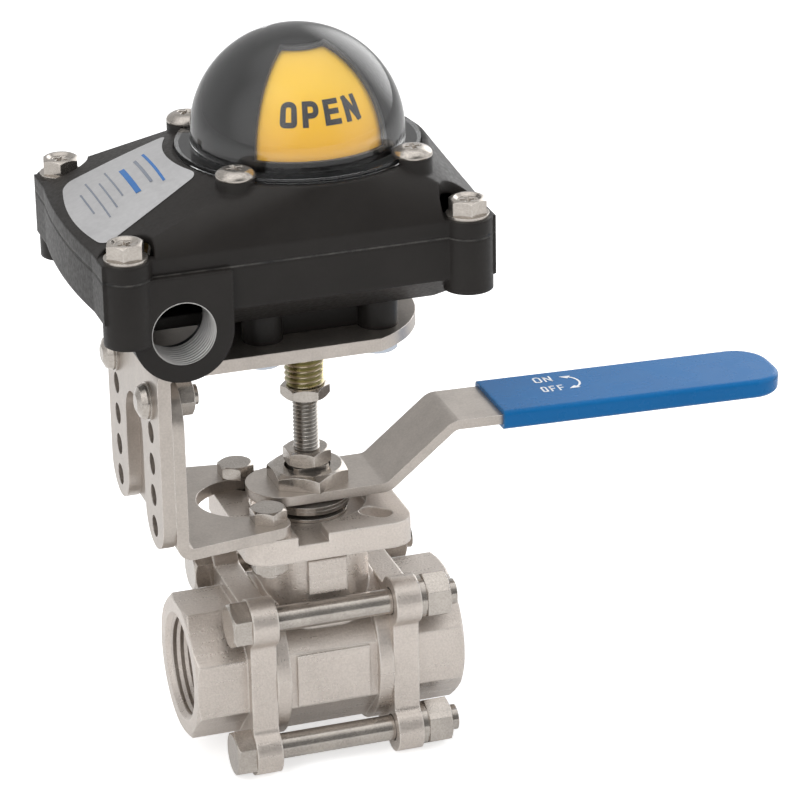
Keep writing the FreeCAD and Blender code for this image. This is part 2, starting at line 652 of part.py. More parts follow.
# Places that several pieces share.
circle_offset = S.pad_circle / 2 * math.cos(math.pi / 4)
flange_face = S.body_half_length + S.flange_thickness
foot_top = S.pad_top + S.foot_thickness
handle_low = foot_top + S.handle_gap
handle_high = handle_low + S.handle_thickness
handle_nut_top = handle_high + S.handle_nut_height
pad_bottom = S.pad_top - S.pad_thickness
bracket_underside = S.bracket_top - S.bracket_thickness
bracket_inner = S.bracket_left - S.bracket_thickness
ALONG_PIPE = FreeCAD.Rotation(FreeCAD.Vector(0, 1, 0), 90)
TO_THE_LEFT = FreeCAD.Rotation(FreeCAD.Vector(0, 1, 0), -90)
UPSIDE_DOWN = FreeCAD.Rotation(FreeCAD.Vector(1, 0, 0), 180)
# Directions on the round seat that answer the ten corners of the box's plan, in degrees.
RING_ANGLES = (-130, -52, -30, 0, 30, 52, 130, 155, 180, 205)


def make_end_cap(label, side):
    """Make one threaded pipe end with its bolted flange. side is -1 left or 1 right."""
    body = new_body(label)
    barrel = sketch_on(body, "YZ_Plane", flange_face * side)
    draw_outline(barrel, polygon(S.cap_flats, 8))
    barrel_length = S.pipe_half_length - flange_face
    pad(body, barrel, barrel_length, reverse=side < 0)
    flange = sketch_on(body, "YZ_Plane", S.body_half_length * side)
    draw_outline(flange, rectangle(-S.flange_flat, -S.flange_flat, S.flange_flat, S.flange_flat))
    pad(body, flange, S.flange_thickness, reverse=side < 0)
    ear = sketch_on(body, "YZ_Plane", S.body_half_length * side)
    draw_circle(ear, S.body_bolt_offset, S.body_bolt_offset, S.ear_radius)
    ear_pad = pad(body, ear, S.flange_thickness, reverse=side < 0)
    pipe_axis = [item for item in body.Origin.OriginFeatures if item.Role == "X_Axis"][0]
    add_feature(
        body, "PolarPattern", None, Originals=[ear_pad], Axis=(pipe_axis, [""]),
        Angle=360.0, Occurrences=4)
    reach = root(S.ear_radius * S.ear_radius - (S.flange_flat - S.body_bolt_offset)
                 * (S.flange_flat - S.body_bolt_offset))
    inner_end = (S.body_bolt_offset - reach).number
    flat = S.flange_flat.number

    def is_ear_root(edge):
        middle = edge.CenterOfMass
        low, high = sorted((abs(middle.y), abs(middle.z)))
        return runs_along(edge, 0) and abs(low - inner_end) < 0.05 and abs(high - flat) < 0.05

    round_edges(body, S.ear_fillet, is_ear_root)
    rim_corner = S.cap_flats / (2 * math.cos(math.pi / 8)) + 1
    mouth = S.pipe_half_length * side
    turn_about(body, [
        (mouth, S.cap_rim_radius), (mouth, rim_corner),
        (mouth - S.cap_rim_bevel * side, rim_corner)], "H", cut=True)
    thread_end = mouth - S.pipe_thread_length * side
    inner_face = S.body_half_length * side
    turn_about(body, [
        (inner_face - side, 0), (inner_face - side, S.flow_radius),
        (thread_end, S.flow_radius), (thread_end, S.pipe_thread_radius),
        (mouth - S.pipe_mouth_depth * side, S.pipe_thread_radius),
        (mouth, S.pipe_mouth_radius), (mouth + side, S.pipe_mouth_radius),
        (mouth + side, 0)], "H", cut=True)
    hole = sketch_on(body, "YZ_Plane")
    for y, z, _ in four(S.body_bolt_offset, S.body_bolt_offset, 0):
        draw_circle(hole, y, z, S.body_bolt_radius + S.bolt_clearance)
    pocket(body, hole, both_ways=True)
    return body


def make_valve_body():
    """Make the middle body with its chamber, neck and square mounting pad."""
    body = new_body("valve_body")
    barrel = sketch_on(body, "YZ_Plane")
    draw_outline(barrel, polygon(S.barrel_flats, 8))
    pad(body, barrel, S.body_half_length * 2, both_ways=True)
    for side in (-1, 1):
        ring = sketch_on(body, "YZ_Plane", S.body_half_length * side)
        draw_circle(ring, 0, 0, S.ring_radius)
        pad(body, ring, S.ring_width, reverse=side > 0)
    panel = sketch_on(body, "XZ_Plane")
    draw_outline(panel, rectangle(
        -S.panel_length / 2, -S.panel_height / 2, S.panel_length / 2, S.panel_height / 2))
    pad(body, panel, S.barrel_flats / 2 + S.panel_raise)
    neck = sketch_on(body, "XY_Plane")
    draw_outline(neck, rounded_rectangle(
        -S.neck_length / 2, -S.neck_depth / 2, S.neck_length / 2, S.neck_depth / 2,
        S.neck_corner))
    pad(body, neck, pad_bottom + 1)
    boss = sketch_on(body, "XY_Plane", S.neck_boss_low)
    draw_outline(boss, rectangle(
        -S.neck_boss_length / 2, -S.neck_depth / 2 - S.neck_boss_raise,
        S.neck_boss_length / 2, 0))
    pad(body, boss, S.neck_boss_high - S.neck_boss_low)
    half = S.pad_side / 2
    top_pad = sketch_on(body, "XY_Plane", pad_bottom)
    draw_outline(top_pad, rounded_rectangle(-half, -half, half, half, S.pad_corner))
    pad(body, top_pad, S.pad_thickness)
    chamber = sketch_on(body, "YZ_Plane")
    draw_circle(chamber, 0, 0, S.cavity_radius)
    pocket(body, chamber, both_ways=True)
    for side in (-1, 1):
        seat = sketch_on(body, "YZ_Plane", S.body_half_length * side)
        draw_circle(seat, 0, 0, S.seal_outer_radius)
        pocket(body, seat, S.seal_thickness, reverse=side < 0)
    collar_top = S.collar_low + S.collar_height
    recess_floor = S.pad_top - S.recess_depth
    collar_play = S.stem_play * 4
    turn_about(body, [
        (0, 0), (S.collar_radius + collar_play, 0),
        (S.collar_radius + collar_play, collar_top),
        (S.stem_radius + S.stem_play, collar_top),
        (S.stem_radius + S.stem_play, S.packing_low), (S.packing_radius, S.packing_low),
        (S.packing_radius, recess_floor), (S.recess_radius, recess_floor),
        (S.recess_radius, S.pad_top + 1), (0, S.pad_top + 1)], "V", cut=True)
    notch = sketch_on(body, "XY_Plane", recess_floor)
    draw_outline(notch, rectangle(S.notch_low, -half - 1, S.notch_high, 0))
    pocket(body, notch, S.recess_depth + 1, reverse=True)
    slots = sketch_on(body, "XY_Plane", S.pad_top)
    inner = circle_offset - S.pad_slot * math.cos(math.pi / 4)
    shift = S.m6_hole_radius * math.cos(math.pi / 4)
    for sx in (-1, 1):
        for sy in (-1, 1):
            corners = [
                (sx * (inner + shift), sy * (inner - shift)),
                (sx * (circle_offset + shift), sy * (circle_offset - shift),
                 S.m6_hole_radius * sx * sy),
                (sx * (circle_offset + shift), sy * (circle_offset + shift),
                 S.m6_hole_radius * sx * sy),
                (sx * (circle_offset - shift), sy * (circle_offset + shift)),
                (sx * (inner - shift), sy * (inner + shift), S.m6_hole_radius * sx * sy),
                (sx * (inner - shift), sy * (inner - shift), S.m6_hole_radius * sx * sy)]
            draw_outline(slots, corners)
    pocket(body, slots, S.pad_thickness)
    return body


def make_ball_and_seats():
    """Make the bored ball, its two seats and the two body seals."""
    sphere = doc.addObject("Part::Sphere", "ball_blank")
    sphere.setExpression("Radius", S.ball_radius.text)
    bore = doc.addObject("Part::Cylinder", "ball_bore")
    bore.setExpression("Radius", S.flow_radius.text)
    bore.setExpression("Height", (S.ball_radius * 2 + 2).text)
    place(bore, -S.ball_radius - 1, 0, 0, ALONG_PIPE)
    slot = doc.addObject("Part::Box", "ball_slot")
    slot_width = S.tongue_width + S.tongue_play * 2
    slot.setExpression("Length", slot_width.text)
    slot.setExpression("Width", (S.ball_radius * 2).text)
    slot.setExpression("Height", S.ball_radius.text)
    place(slot, -slot_width / 2, -S.ball_radius, S.slot_floor)
    tools = doc.addObject("Part::MultiFuse", "ball_cuts")
    tools.Shapes = [bore, slot]
    ball = doc.addObject("Part::Cut", "ball")
    ball.Label = "ball"
    ball.Base = sphere
    ball.Tool = tools
    recompute(ball)
    NODES.append(ball)
    hollow_radius = S.ball_radius + S.seat_gap
    seat_outer = S.cavity_radius - S.seat_play
    for label, side in (("seat_left", -1), ("seat_right", 1)):
        outer_face = S.body_half_length * side
        inner_face = (S.body_half_length - S.seat_length) * side
        inner_radius = root(hollow_radius * hollow_radius - inner_face * inner_face)
        edge = root(hollow_radius * hollow_radius - S.flow_radius * S.flow_radius) * side
        corners = [
            (outer_face, S.flow_radius), (outer_face, seat_outer),
            (inner_face, seat_outer),
            (inner_face, inner_radius, hollow_radius * -side),
            (edge, S.flow_radius)]
        seat = new_body(label)
        turn_about(seat, corners, "H")
    for label, side in (("body_seal_left", -1), ("body_seal_right", 1)):
        outer_face = S.body_half_length * side
        inner_face = (S.body_half_length - S.seal_thickness) * side
        seal = new_body(label)
        turn_about(seal, rectangle(
            inner_face, S.cavity_radius, outer_face, S.seal_outer_radius), "H")


def make_body_bolting():
    """Make the four body bolts with their spring washers and nuts."""
    washer_face = flange_face + S.body_washer_height
    nut_face = washer_face + S.body_nut_height
    length = flange_face + nut_face + S.bolt_end
    bolt = hexagon_screw(
        "body_bolt", S.body_bolt_flats, S.body_bolt_head, S.body_bolt_radius, length, turn=30.0)
    nut = hexagon_nut(
        "body_nut", S.body_bolt_flats, S.body_nut_height, S.body_bolt_radius + S.thread_play,
        turn=30.0)
    washer = turned(
        "body_washer", tube(S.body_bolt_radius + S.thread_play, S.body_washer_radius, 0,
                            S.body_washer_height), is_node=False)
    offset = S.body_bolt_offset
    places = [(y, z) for y in (-offset, offset) for z in (-offset, offset)]
    group_of("body_bolts", bolt, [(-flange_face, y, z) for y, z in places], TO_THE_LEFT)
    group_of("body_nuts", nut, [(washer_face, y, z) for y, z in places], ALONG_PIPE)
    group_of("body_spring_washers", washer, [(flange_face, y, z) for y, z in places], ALONG_PIPE)


def make_stem_parts():
    """Make the stem, its packing, gland ring and disc springs."""
    stem = new_body("stem")
    collar_top = S.collar_low + S.collar_height
    turn_about(stem, [
        (0, S.collar_low), (S.collar_radius, S.collar_low), (S.collar_radius, collar_top),
        (S.stem_radius, collar_top), (S.stem_radius, S.stem_top), (0, S.stem_top)], "V")
    tongue = sketch_on(stem, "XY_Plane", S.slot_floor + S.tongue_play)
    draw_outline(tongue, rectangle(
        -S.tongue_width / 2, -S.tongue_length / 2, S.tongue_width / 2, S.tongue_length / 2))
    pad(stem, tongue, S.collar_low - S.slot_floor)
    for side in (-1, 1):
        for across in ("x", "y"):
            flat = sketch_on(stem, "XY_Plane", S.stem_top)
            low, high = S.stem_square / 2 * side, (S.stem_radius + 1) * side
            if side < 0:
                low, high = high, low
            far = S.stem_radius + 1
            corners = rectangle(low, -far, high, far)
            if across == "y":
                corners = rectangle(-far, low, far, high)
            draw_outline(flat, corners)
            pocket(stem, flat, S.stem_top - handle_low)
    tapped = sketch_on(stem, "XY_Plane", S.stem_top)
    draw_circle(tapped, 0, 0, S.stud_radius + S.thread_play)
    pocket(stem, tapped, S.stem_top - S.stud_low)

    bore = S.stem_radius + S.stem_play
    turned("stem_packing", tube(
        bore, S.packing_radius, S.packing_low, S.packing_low + S.packing_height))
    ledge = S.gland_top - S.gland_flange_height
    turned("gland_ring", [
        (bore, S.packing_low + S.packing_height),
        (S.packing_radius - S.seat_play, S.packing_low + S.packing_height),
        (S.packing_radius - S.seat_play, ledge),
        (S.gland_flange_radius, ledge), (S.gland_flange_radius, S.gland_top),
        (bore, S.gland_top)])
    stack = handle_low - S.gland_top
    middle = S.gland_top + stack / 2
    thick = S.spring_washer_thickness
    outer = S.spring_washer_radius
    springs = new_body("belleville_washers")
    turn_about(springs, [
        (bore, S.gland_top), (outer, middle - thick), (outer, middle), (bore, S.gland_top + thick)],
        "V")
    turn_about(springs, [
        (bore, handle_low - thick), (outer, middle), (outer, middle + thick), (bore, handle_low)],
        "V")


def strip_corners(path, thickness):
    """Return the outline of a strip of even thickness above a path of (x, height) points."""
    directions = []
    for start, end in zip(path, path[1:]):
        run, rise = end[0] - start[0], end[1] - start[1]
        length = root(run * run + rise * rise)
        directions.append((run / length, rise / length))
    upper = []
    for index, point in enumerate(path):
        before = directions[max(index - 1, 0)]
        after = directions[min(index, len(directions) - 1)]
        spread = 1 + before[0] * after[0] + before[1] * after[1]
        shift_x = -(before[1] + after[1]) / spread
        shift_z = (before[0] + after[0]) / spread
        upper.append((point[0] + thickness * shift_x, point[1] + thickness * shift_z))
    return list(path) + upper[::-1]


def make_handle():
    """Make the bent handle strip, its grip sleeve and the nut that holds it."""
    high = handle_low + S.handle_rise
    low_bend = (S.handle_low_bend, handle_low)
    high_bend = (S.handle_high_bend, high)
    tip = (S.handle_tip, high - S.handle_droop)
    path = [(-S.handle_tail, handle_low), low_bend, high_bend, tip]
    handle = new_body("handle_lever")
    profile = sketch_on(handle, "XZ_Plane")
    corners = strip_corners(path, S.handle_thickness)
    draw_outline(profile, corners)
    pad(handle, profile, S.handle_width, both_ways=True)
    inner_bends = [corners[6], corners[2]]
    outer_bends = [corners[1], corners[5]]

    def at_corners(group):
        return lambda edge: runs_along(edge, 1) and any(
            near(edge.CenterOfMass.x, x) and near(edge.CenterOfMass.z, z) for x, z in group)

    round_edges(handle, S.handle_bend_radius, at_corners(inner_bends))
    round_edges(handle, S.handle_bend_radius + S.handle_thickness, at_corners(outer_bends))
    round_edges(handle, S.handle_tail_round, lambda edge: runs_along(edge, 2)
                and near(edge.CenterOfMass.x, -S.handle_tail))
    tip_x = S.handle_tip.number
    round_edges(handle, S.handle_tip_round, lambda edge: edge.CenterOfMass.x > tip_x - 1
                and abs(abs(edge.CenterOfMass.y) - S.handle_width.number / 2) < 0.05
                and edge.Length < S.handle_thickness.number * 1.5)
    square = sketch_on(handle, "XY_Plane", handle_high)
    side = S.stem_square / 2 + S.square_play
    draw_outline(square, rectangle(-side, -side, side, side))
    pocket(handle, square, S.handle_thickness)

    sleeve = new_body("handle_sleeve")
    fall = S.handle_droop / (S.handle_tip - S.handle_high_bend)
    start_height = high - fall * (S.sleeve_start - S.handle_high_bend)
    lower = strip_corners([(S.sleeve_start, start_height), tip], -S.sleeve_wall)
    upper = strip_corners(
        [(S.sleeve_start, start_height), tip], S.handle_thickness + S.sleeve_wall)
    end_shift = S.sleeve_wall
    outline = [
        lower[3], (lower[2][0] + end_shift, lower[2][1] - fall * end_shift),
        (upper[2][0] + end_shift, upper[2][1] - fall * end_shift), upper[3]]
    sleeve_sketch = sketch_on(sleeve, "XZ_Plane")
    draw_outline(sleeve_sketch, outline)
    pad(sleeve, sleeve_sketch, S.handle_width + S.sleeve_wall * 2, both_ways=True)
    half_sleeve = S.handle_width.number / 2 + S.sleeve_wall.number
    mouth_x = S.sleeve_start.number
    tip_limit = tip_x + 0.3
    round_edges(sleeve, S.handle_tip_round + S.sleeve_wall, lambda edge:
                edge.CenterOfMass.x > tip_limit and edge.Length < 9
                and abs(abs(edge.CenterOfMass.y) - half_sleeve) < 0.05)
    round_edges(sleeve, S.sleeve_round, lambda edge: edge.Length > 20
                and edge.CenterOfMass.x > mouth_x + 20
                and abs(edge.CenterOfMass.y) > half_sleeve - 1)
    inside = sketch_on(sleeve, "XZ_Plane")
    channel = strip_corners([(S.sleeve_start, start_height), tip], S.handle_thickness)
    draw_outline(inside, [
        (channel[0][0] - 1, channel[0][1] + fall), channel[1], channel[2],
        (channel[3][0] - 1, channel[3][1] + fall)])
    pocket(sleeve, inside, S.handle_width, both_ways=True)

    hexagon_nut(
        "handle_nut", S.handle_nut_flats, S.handle_nut_height, S.stem_radius + S.thread_play,
        is_node=True, low=handle_high)


def make_coupling():
    """Make the stud, its two jam nuts and the threaded sleeve up to the box's shaft."""
    hexagon_nut(
        "coupling_lower_nut", S.jam_flats, S.jam_height, S.stud_radius + S.thread_play,
        is_node=True, two_bevels=True, low=S.stem_top)
    upper_low = S.sleeve_low - S.upper_jam_height
    hexagon_nut(
        "coupling_upper_nut", S.jam_flats, S.upper_jam_height, S.stud_radius + S.thread_play,
        is_node=True, two_bevels=True, low=upper_low, turn=15.0)
    turned("coupling_stud", rectangle(0, S.stud_low, S.stud_radius, S.stud_high))
    bore = S.stud_radius + S.thread_play
    turned("coupling_sleeve", [
        (bore, S.sleeve_low), (S.coupling_radius - 0.5, S.sleeve_low),
        (S.coupling_radius, S.sleeve_low + 0.5), (S.coupling_radius, S.sleeve_high),
        (bore, S.sleeve_high)])


def make_lower_bracket():
    """Make the angle bracket that stands on the valve's pad."""
    body = new_body("lower_bracket")
    thick = S.foot_thickness
    outer = bracket_inner
    inner = outer - thick
    bend = S.foot_bend
    side = sketch_on(body, "XZ_Plane")
    draw_outline(side, [
        (-outer, S.post_top), (-outer, S.pad_top + bend, bend), (-outer + bend, S.pad_top),
        (S.foot_end, S.pad_top), (S.foot_end, foot_top),
        (-outer + bend, foot_top, -(bend - thick)), (-inner, S.pad_top + bend),
        (-inner, S.post_top)])
    half = S.bracket_half_width
    pad(body, side, half * 2, both_ways=True)
    foot = sketch_on(body, "XY_Plane", foot_top)
    gap = S.foot_gap_half
    gap_centre = -S.foot_gap_end + gap
    draw_outline(foot, [
        (S.foot_end + 1, -gap), (S.foot_end + 1, gap), (gap_centre, gap, gap),
        (-S.foot_gap_end, 0, gap), (gap_centre, -gap)])
    pocket(body, foot, thick)
    for sign in (-1, 1):
        taper = sketch_on(body, "XY_Plane", foot_top)
        corners = [
            (-outer + bend, half * sign), (S.foot_end, S.foot_end_half_width * sign),
            (S.foot_end + 1, (half + 1) * sign), (-outer + bend, (half + 1) * sign)]
        draw_outline(taper, corners)
        pocket(body, taper, thick)
    foot_end = S.foot_end.number
    round_edges(body, S.foot_prong_round, lambda edge: runs_along(edge, 2)
                and near(edge.CenterOfMass.x, foot_end))
    post_top = S.post_top.number
    round_edges(body, S.post_corner, lambda edge: runs_along(edge, 0)
                and near(edge.CenterOfMass.z, post_top))
    bolts = sketch_on(body, "XY_Plane", foot_top)
    for sign in (-1, 1):
        draw_circle(bolts, -circle_offset, circle_offset * sign, S.m6_hole_radius)
    pocket(body, bolts, thick)
    holes = sketch_on(body, "YZ_Plane")
    for sign in (-1, 1):
        draw_circle(holes, S.side_screw_offset * sign, S.leg_hole_top, S.leg_hole_radius)
    pocket(body, holes)
    return body


def make_upper_bracket():
    """Make the bracket that carries the box, with its two perforated legs."""
    body = new_body("upper_bracket")
    thick = S.bracket_thickness
    outer = S.bracket_left
    inner = bracket_inner
    top = S.bracket_top
    bend = S.bracket_bend
    side = sketch_on(body, "XZ_Plane")
    draw_outline(side, [
        (-outer, S.leg_bottom), (-inner, S.leg_bottom), (-inner, top - bend, -(bend - thick)),
        (-outer + bend, top - thick), (S.bracket_right_radius, top - thick),
        (S.bracket_right_radius, top), (-outer + bend, top, bend), (-outer, top - bend)])
    half = S.bracket_half_width
    pad(body, side, half * 2, both_ways=True)
    right = S.bracket_right_radius
    arc_start = root(right * right - half * half)
    for sign in (-1, 1):
        end = sketch_on(body, "XY_Plane", top)
        corners = [
            (arc_start, half * sign, -right * sign), (right, 0), (right + 1, 0),
            (right + 1, (half + 1) * sign), (arc_start, (half + 1) * sign)]
        draw_outline(end, corners)
        pocket(body, end, thick)
    holes = sketch_on(body, "XY_Plane", top)
    draw_circle(holes, 0, 0, S.bracket_centre_radius)
    for x, y, _ in four(circle_offset, circle_offset, 0):
        draw_circle(holes, x, y, S.m6_hole_radius)
    pocket(body, holes, thick)
    legs = sketch_on(body, "YZ_Plane")
    gap = S.leg_inner
    crown = S.leg_slot_top - gap
    draw_outline(legs, [
        (-gap, S.leg_bottom - 1), (gap, S.leg_bottom - 1), (gap, crown, gap),
        (0, crown + gap, gap), (-gap, crown)])
    pocket(body, legs)
    leg_round = (half - gap) / 2
    middle = (half + gap) / 2
    level = S.leg_bottom + leg_round
    for sign in (-1, 1):
        foot = sketch_on(body, "YZ_Plane")
        draw_outline(foot, [
            ((middle - leg_round) * sign, level, leg_round * sign), (middle * sign, S.leg_bottom),
            (middle * sign, S.leg_bottom - 1), ((middle - leg_round) * sign, S.leg_bottom - 1)])
        draw_outline(foot, [
            ((middle + leg_round) * sign, level, -leg_round * sign), (middle * sign, S.leg_bottom),
            (middle * sign, S.leg_bottom - 1), ((middle + leg_round) * sign, S.leg_bottom - 1)])
        pocket(body, foot)
    row = sketch_on(body, "YZ_Plane")
    for sign in (-1, 1):
        for index in range(int(S.leg_hole_count.number)):
            height = S.leg_hole_top - S.leg_hole_pitch * index
            draw_circle(row, S.side_screw_offset * sign, height, S.leg_hole_radius)
    pocket(body, row)
    return body


def make_bracket_screws():
    """Make the screws, washers and nuts of the two brackets."""
    head = new_body("side_screw", False)
    radius, height = S.side_head_radius, S.side_head_height
    grip = S.toothed_washer_height + S.bracket_thickness + S.foot_thickness
    length = grip + S.m6_nut + S.m6_end
    turn_about(head, [
        (0, height), (radius * 0.45, height), (radius * 0.85, height * 0.7),
        (radius, height * 0.2), (radius, 0), (S.m6_radius, 0), (S.m6_radius, -length),
        (0, -length)], "V")
    washer = turned(
        "toothed_washer", tube(S.m6_radius + S.thread_play, S.toothed_washer_radius, 0,
                               S.toothed_washer_height), is_node=False)
    nut = hexagon_nut("m6_nut_master", S.m6_flats, S.m6_nut, S.m6_radius + S.thread_play)
    screw_face = -S.bracket_left - S.toothed_washer_height
    nut_face = -bracket_inner + S.foot_thickness
    sides = [(sign * S.side_screw_offset, S.leg_hole_top) for sign in (-1, 1)]
    group_of("bracket_side_screws", head, [(screw_face, y, z) for y, z in sides], TO_THE_LEFT)
    group_of("toothed_washers", washer, [(-S.bracket_left, y, z) for y, z in sides], TO_THE_LEFT)
    group_of("bracket_side_nuts", nut, [(nut_face, y, z) for y, z in sides], ALONG_PIPE)
    pad_grip = S.foot_thickness + S.pad_thickness
    bolt = hexagon_screw(
        "pad_bolt", S.m6_flats, S.m6_head, S.m6_radius, pad_grip + S.m6_nut + S.m6_end)
    places = [(-circle_offset, circle_offset * sign) for sign in (-1, 1)]
    group_of("pad_bolts", bolt, [(x, y, foot_top) for x, y in places])
    group_of("pad_nuts", nut, [(x, y, pad_bottom) for x, y in places], UPSIDE_DOWN)
    fixing = hexagon_screw(
        "box_fixing_screw", S.m6_flats, S.m6_head, S.m6_radius,
        S.bracket_thickness + S.m6_length_in_box)
    group_of("box_fixing_screws", fixing, [
        (x, y, bracket_underside) for x, y, _ in four(circle_offset, circle_offset, 0)],
        UPSIDE_DOWN)


def box_outline(inset=0):
    """Return the plan of the box's walls without its lugs: straight sides, swelling ends."""
    half = S.box_half_depth - inset
    left = -S.box_left + inset
    right = S.box_right - inset
    bulge, reach = S.box_bulge, S.box_bulge_half
    arc = (reach * reach + bulge * bulge) / (bulge * 2)
    return [
        (left, -half), (right, -half), (right, -reach, arc), (right + bulge, 0, arc),
        (right, reach), (right, half), (left, half), (left, reach, arc),
        (left - bulge, 0, arc), (left, -reach)]


def lug_places():
    """Return the places of the four corner lugs, left ones first."""
    return [(x, S.lug_offset * sign) for x in (S.lug_left, S.lug_right) for sign in (-1, 1)]


def draw_belly(sketch, inset):
    """Draw the belly's plan at its underside with as many corners as the wall's plan."""
    left, right, half = -S.belly_left + inset, S.belly_right - inset, S.belly_half_depth - inset
    reach = half * 0.7
    draw_outline(sketch, [
        (left, -half), (right, -half), (right, -reach), (right, 0), (right, reach),
        (right, half), (left, half), (left, reach), (left, 0), (left, -reach)])


def add_base_lugs(body):
    """Pad the four corner lugs, which hang lower on the left side."""
    for index, (x, y) in enumerate(lug_places()):
        drop = S.lug_drop_left if index < 2 else S.lug_drop_right
        lug = sketch_on(body, "XY_Plane", S.parting - drop)
        draw_circle(lug, x, y, S.lug_radius)
        pad(body, lug, drop)


def add_entry_bosses(body, depth):
    """Pad the bosses of the front and rear cable entries, by a depth from their faces."""
    radius = S.conduit_boss_radius
    for sign in (-1, 1):
        boss = sketch_on(body, "XZ_Plane", -S.conduit_face * sign)
        draw_outline(boss, [
            (S.conduit_x - radius, S.parting), (S.conduit_x - radius, S.conduit_z, radius),
            (S.conduit_x, S.conduit_z - radius, radius), (S.conduit_x + radius, S.conduit_z),
            (S.conduit_x + radius, S.parting)])
        pad(body, boss, depth, reverse=sign < 0)


def make_base():
    """Make the cast base: walls, belly, pedestal, lugs, cable entries and the shaft's hub."""
    body = new_body("base_housing")
    band_bottom = S.parting - S.band_height
    band = sketch_on(body, "XY_Plane", band_bottom)
    draw_outline(band, box_outline())
    pad(body, band, S.band_height)
    upper = sketch_on(body, "XY_Plane", band_bottom)
    draw_outline(upper, box_outline(0))
    lower = sketch_on(body, "XY_Plane", S.belly_bottom)
    draw_belly(lower, 0)
    add_feature(body, "AdditiveLoft", upper, Sections=[lower], Ruled=True)
    pedestal = sketch_on(body, "XY_Plane", S.bracket_top)
    half = S.pedestal_half
    draw_outline(pedestal, rectangle(-half, -half, half, half))
    pad(body, pedestal, S.belly_bottom - S.bracket_top)
    standoffs = sketch_on(body, "XY_Plane", S.bracket_top)
    for x, y, _ in four(circle_offset, circle_offset, 0):
        draw_circle(standoffs, x, y, S.standoff_radius)
    pad(body, standoffs, S.belly_bottom - S.bracket_top + 1)
    add_base_lugs(body)
    add_entry_bosses(body, S.conduit_depth)
    inside_upper = sketch_on(body, "XY_Plane", band_bottom)
    draw_outline(inside_upper, box_outline(S.wall))
    pocket(body, inside_upper, S.band_height, reverse=True)
    inside_top = sketch_on(body, "XY_Plane", band_bottom)
    draw_outline(inside_top, box_outline(S.wall))
    inside_floor = sketch_on(body, "XY_Plane", S.floor)
    draw_belly(inside_floor, S.wall)
    add_feature(body, "SubtractiveLoft", inside_top, Sections=[inside_floor], Ruled=True)
    add_base_lugs(body)
    add_entry_bosses(body, S.conduit_depth - S.wall)
    for sign in (-1, 1):
        bore = sketch_on(body, "XZ_Plane", -S.conduit_face * sign)
        draw_circle(bore, S.conduit_x, S.conduit_z, S.conduit_radius)
        pocket(body, bore, S.conduit_depth - S.wall, reverse=sign > 0)
        thread_end = S.conduit_face - S.conduit_depth + S.wall
        relief = sketch_on(body, "XZ_Plane", -thread_end * sign)
        draw_circle(relief, S.conduit_x, S.conduit_z, S.conduit_radius + S.conduit_relief)
        pocket(body, relief, S.wall + 1, reverse=sign > 0)
    shelf = sketch_on(body, "XY_Plane", S.floor - 1)
    draw_outline(shelf, rectangle(
        S.terminal_left, S.terminal_front, S.terminal_left + S.terminal_length,
        S.box_half_depth - S.wall / 2))
    pad(body, shelf, S.terminal_shelf - S.floor + 1)
    pillars = sketch_on(body, "XY_Plane", S.floor - 1)
    for x, y in pillar_places():
        draw_circle(pillars, x, y, S.pillar_radius)
    pad(body, pillars, plate_underside() - S.floor + 1)
    hub = sketch_on(body, "XY_Plane", S.bracket_top)
    bush_radius = S.shaft_journal_radius + S.shaft_play + S.bush_wall
    draw_circle(hub, 0, 0, bush_radius)
    pocket(body, hub, reverse=True)
    tapped = sketch_on(body, "XY_Plane", S.bracket_top)
    for x, y, _ in four(circle_offset, circle_offset, 0):
        draw_circle(tapped, x, y, S.m6_radius + S.thread_play)
    pocket(body, tapped, S.m6_length_in_box + 0.5, reverse=True)
    cover_holes = sketch_on(body, "XY_Plane", S.parting)
    for x, y in lug_places():
        draw_circle(cover_holes, x, y, S.cover_bolt_radius + S.thread_play)
    pocket(body, cover_holes, S.cover_bolt_depth + 0.5)
    plate_holes = sketch_on(body, "XY_Plane", plate_underside())
    for x, y in pillar_places():
        draw_circle(plate_holes, x, y, S.plate_screw_radius + S.thread_play)
    pocket(body, plate_holes, plate_underside() - S.floor)
    return body


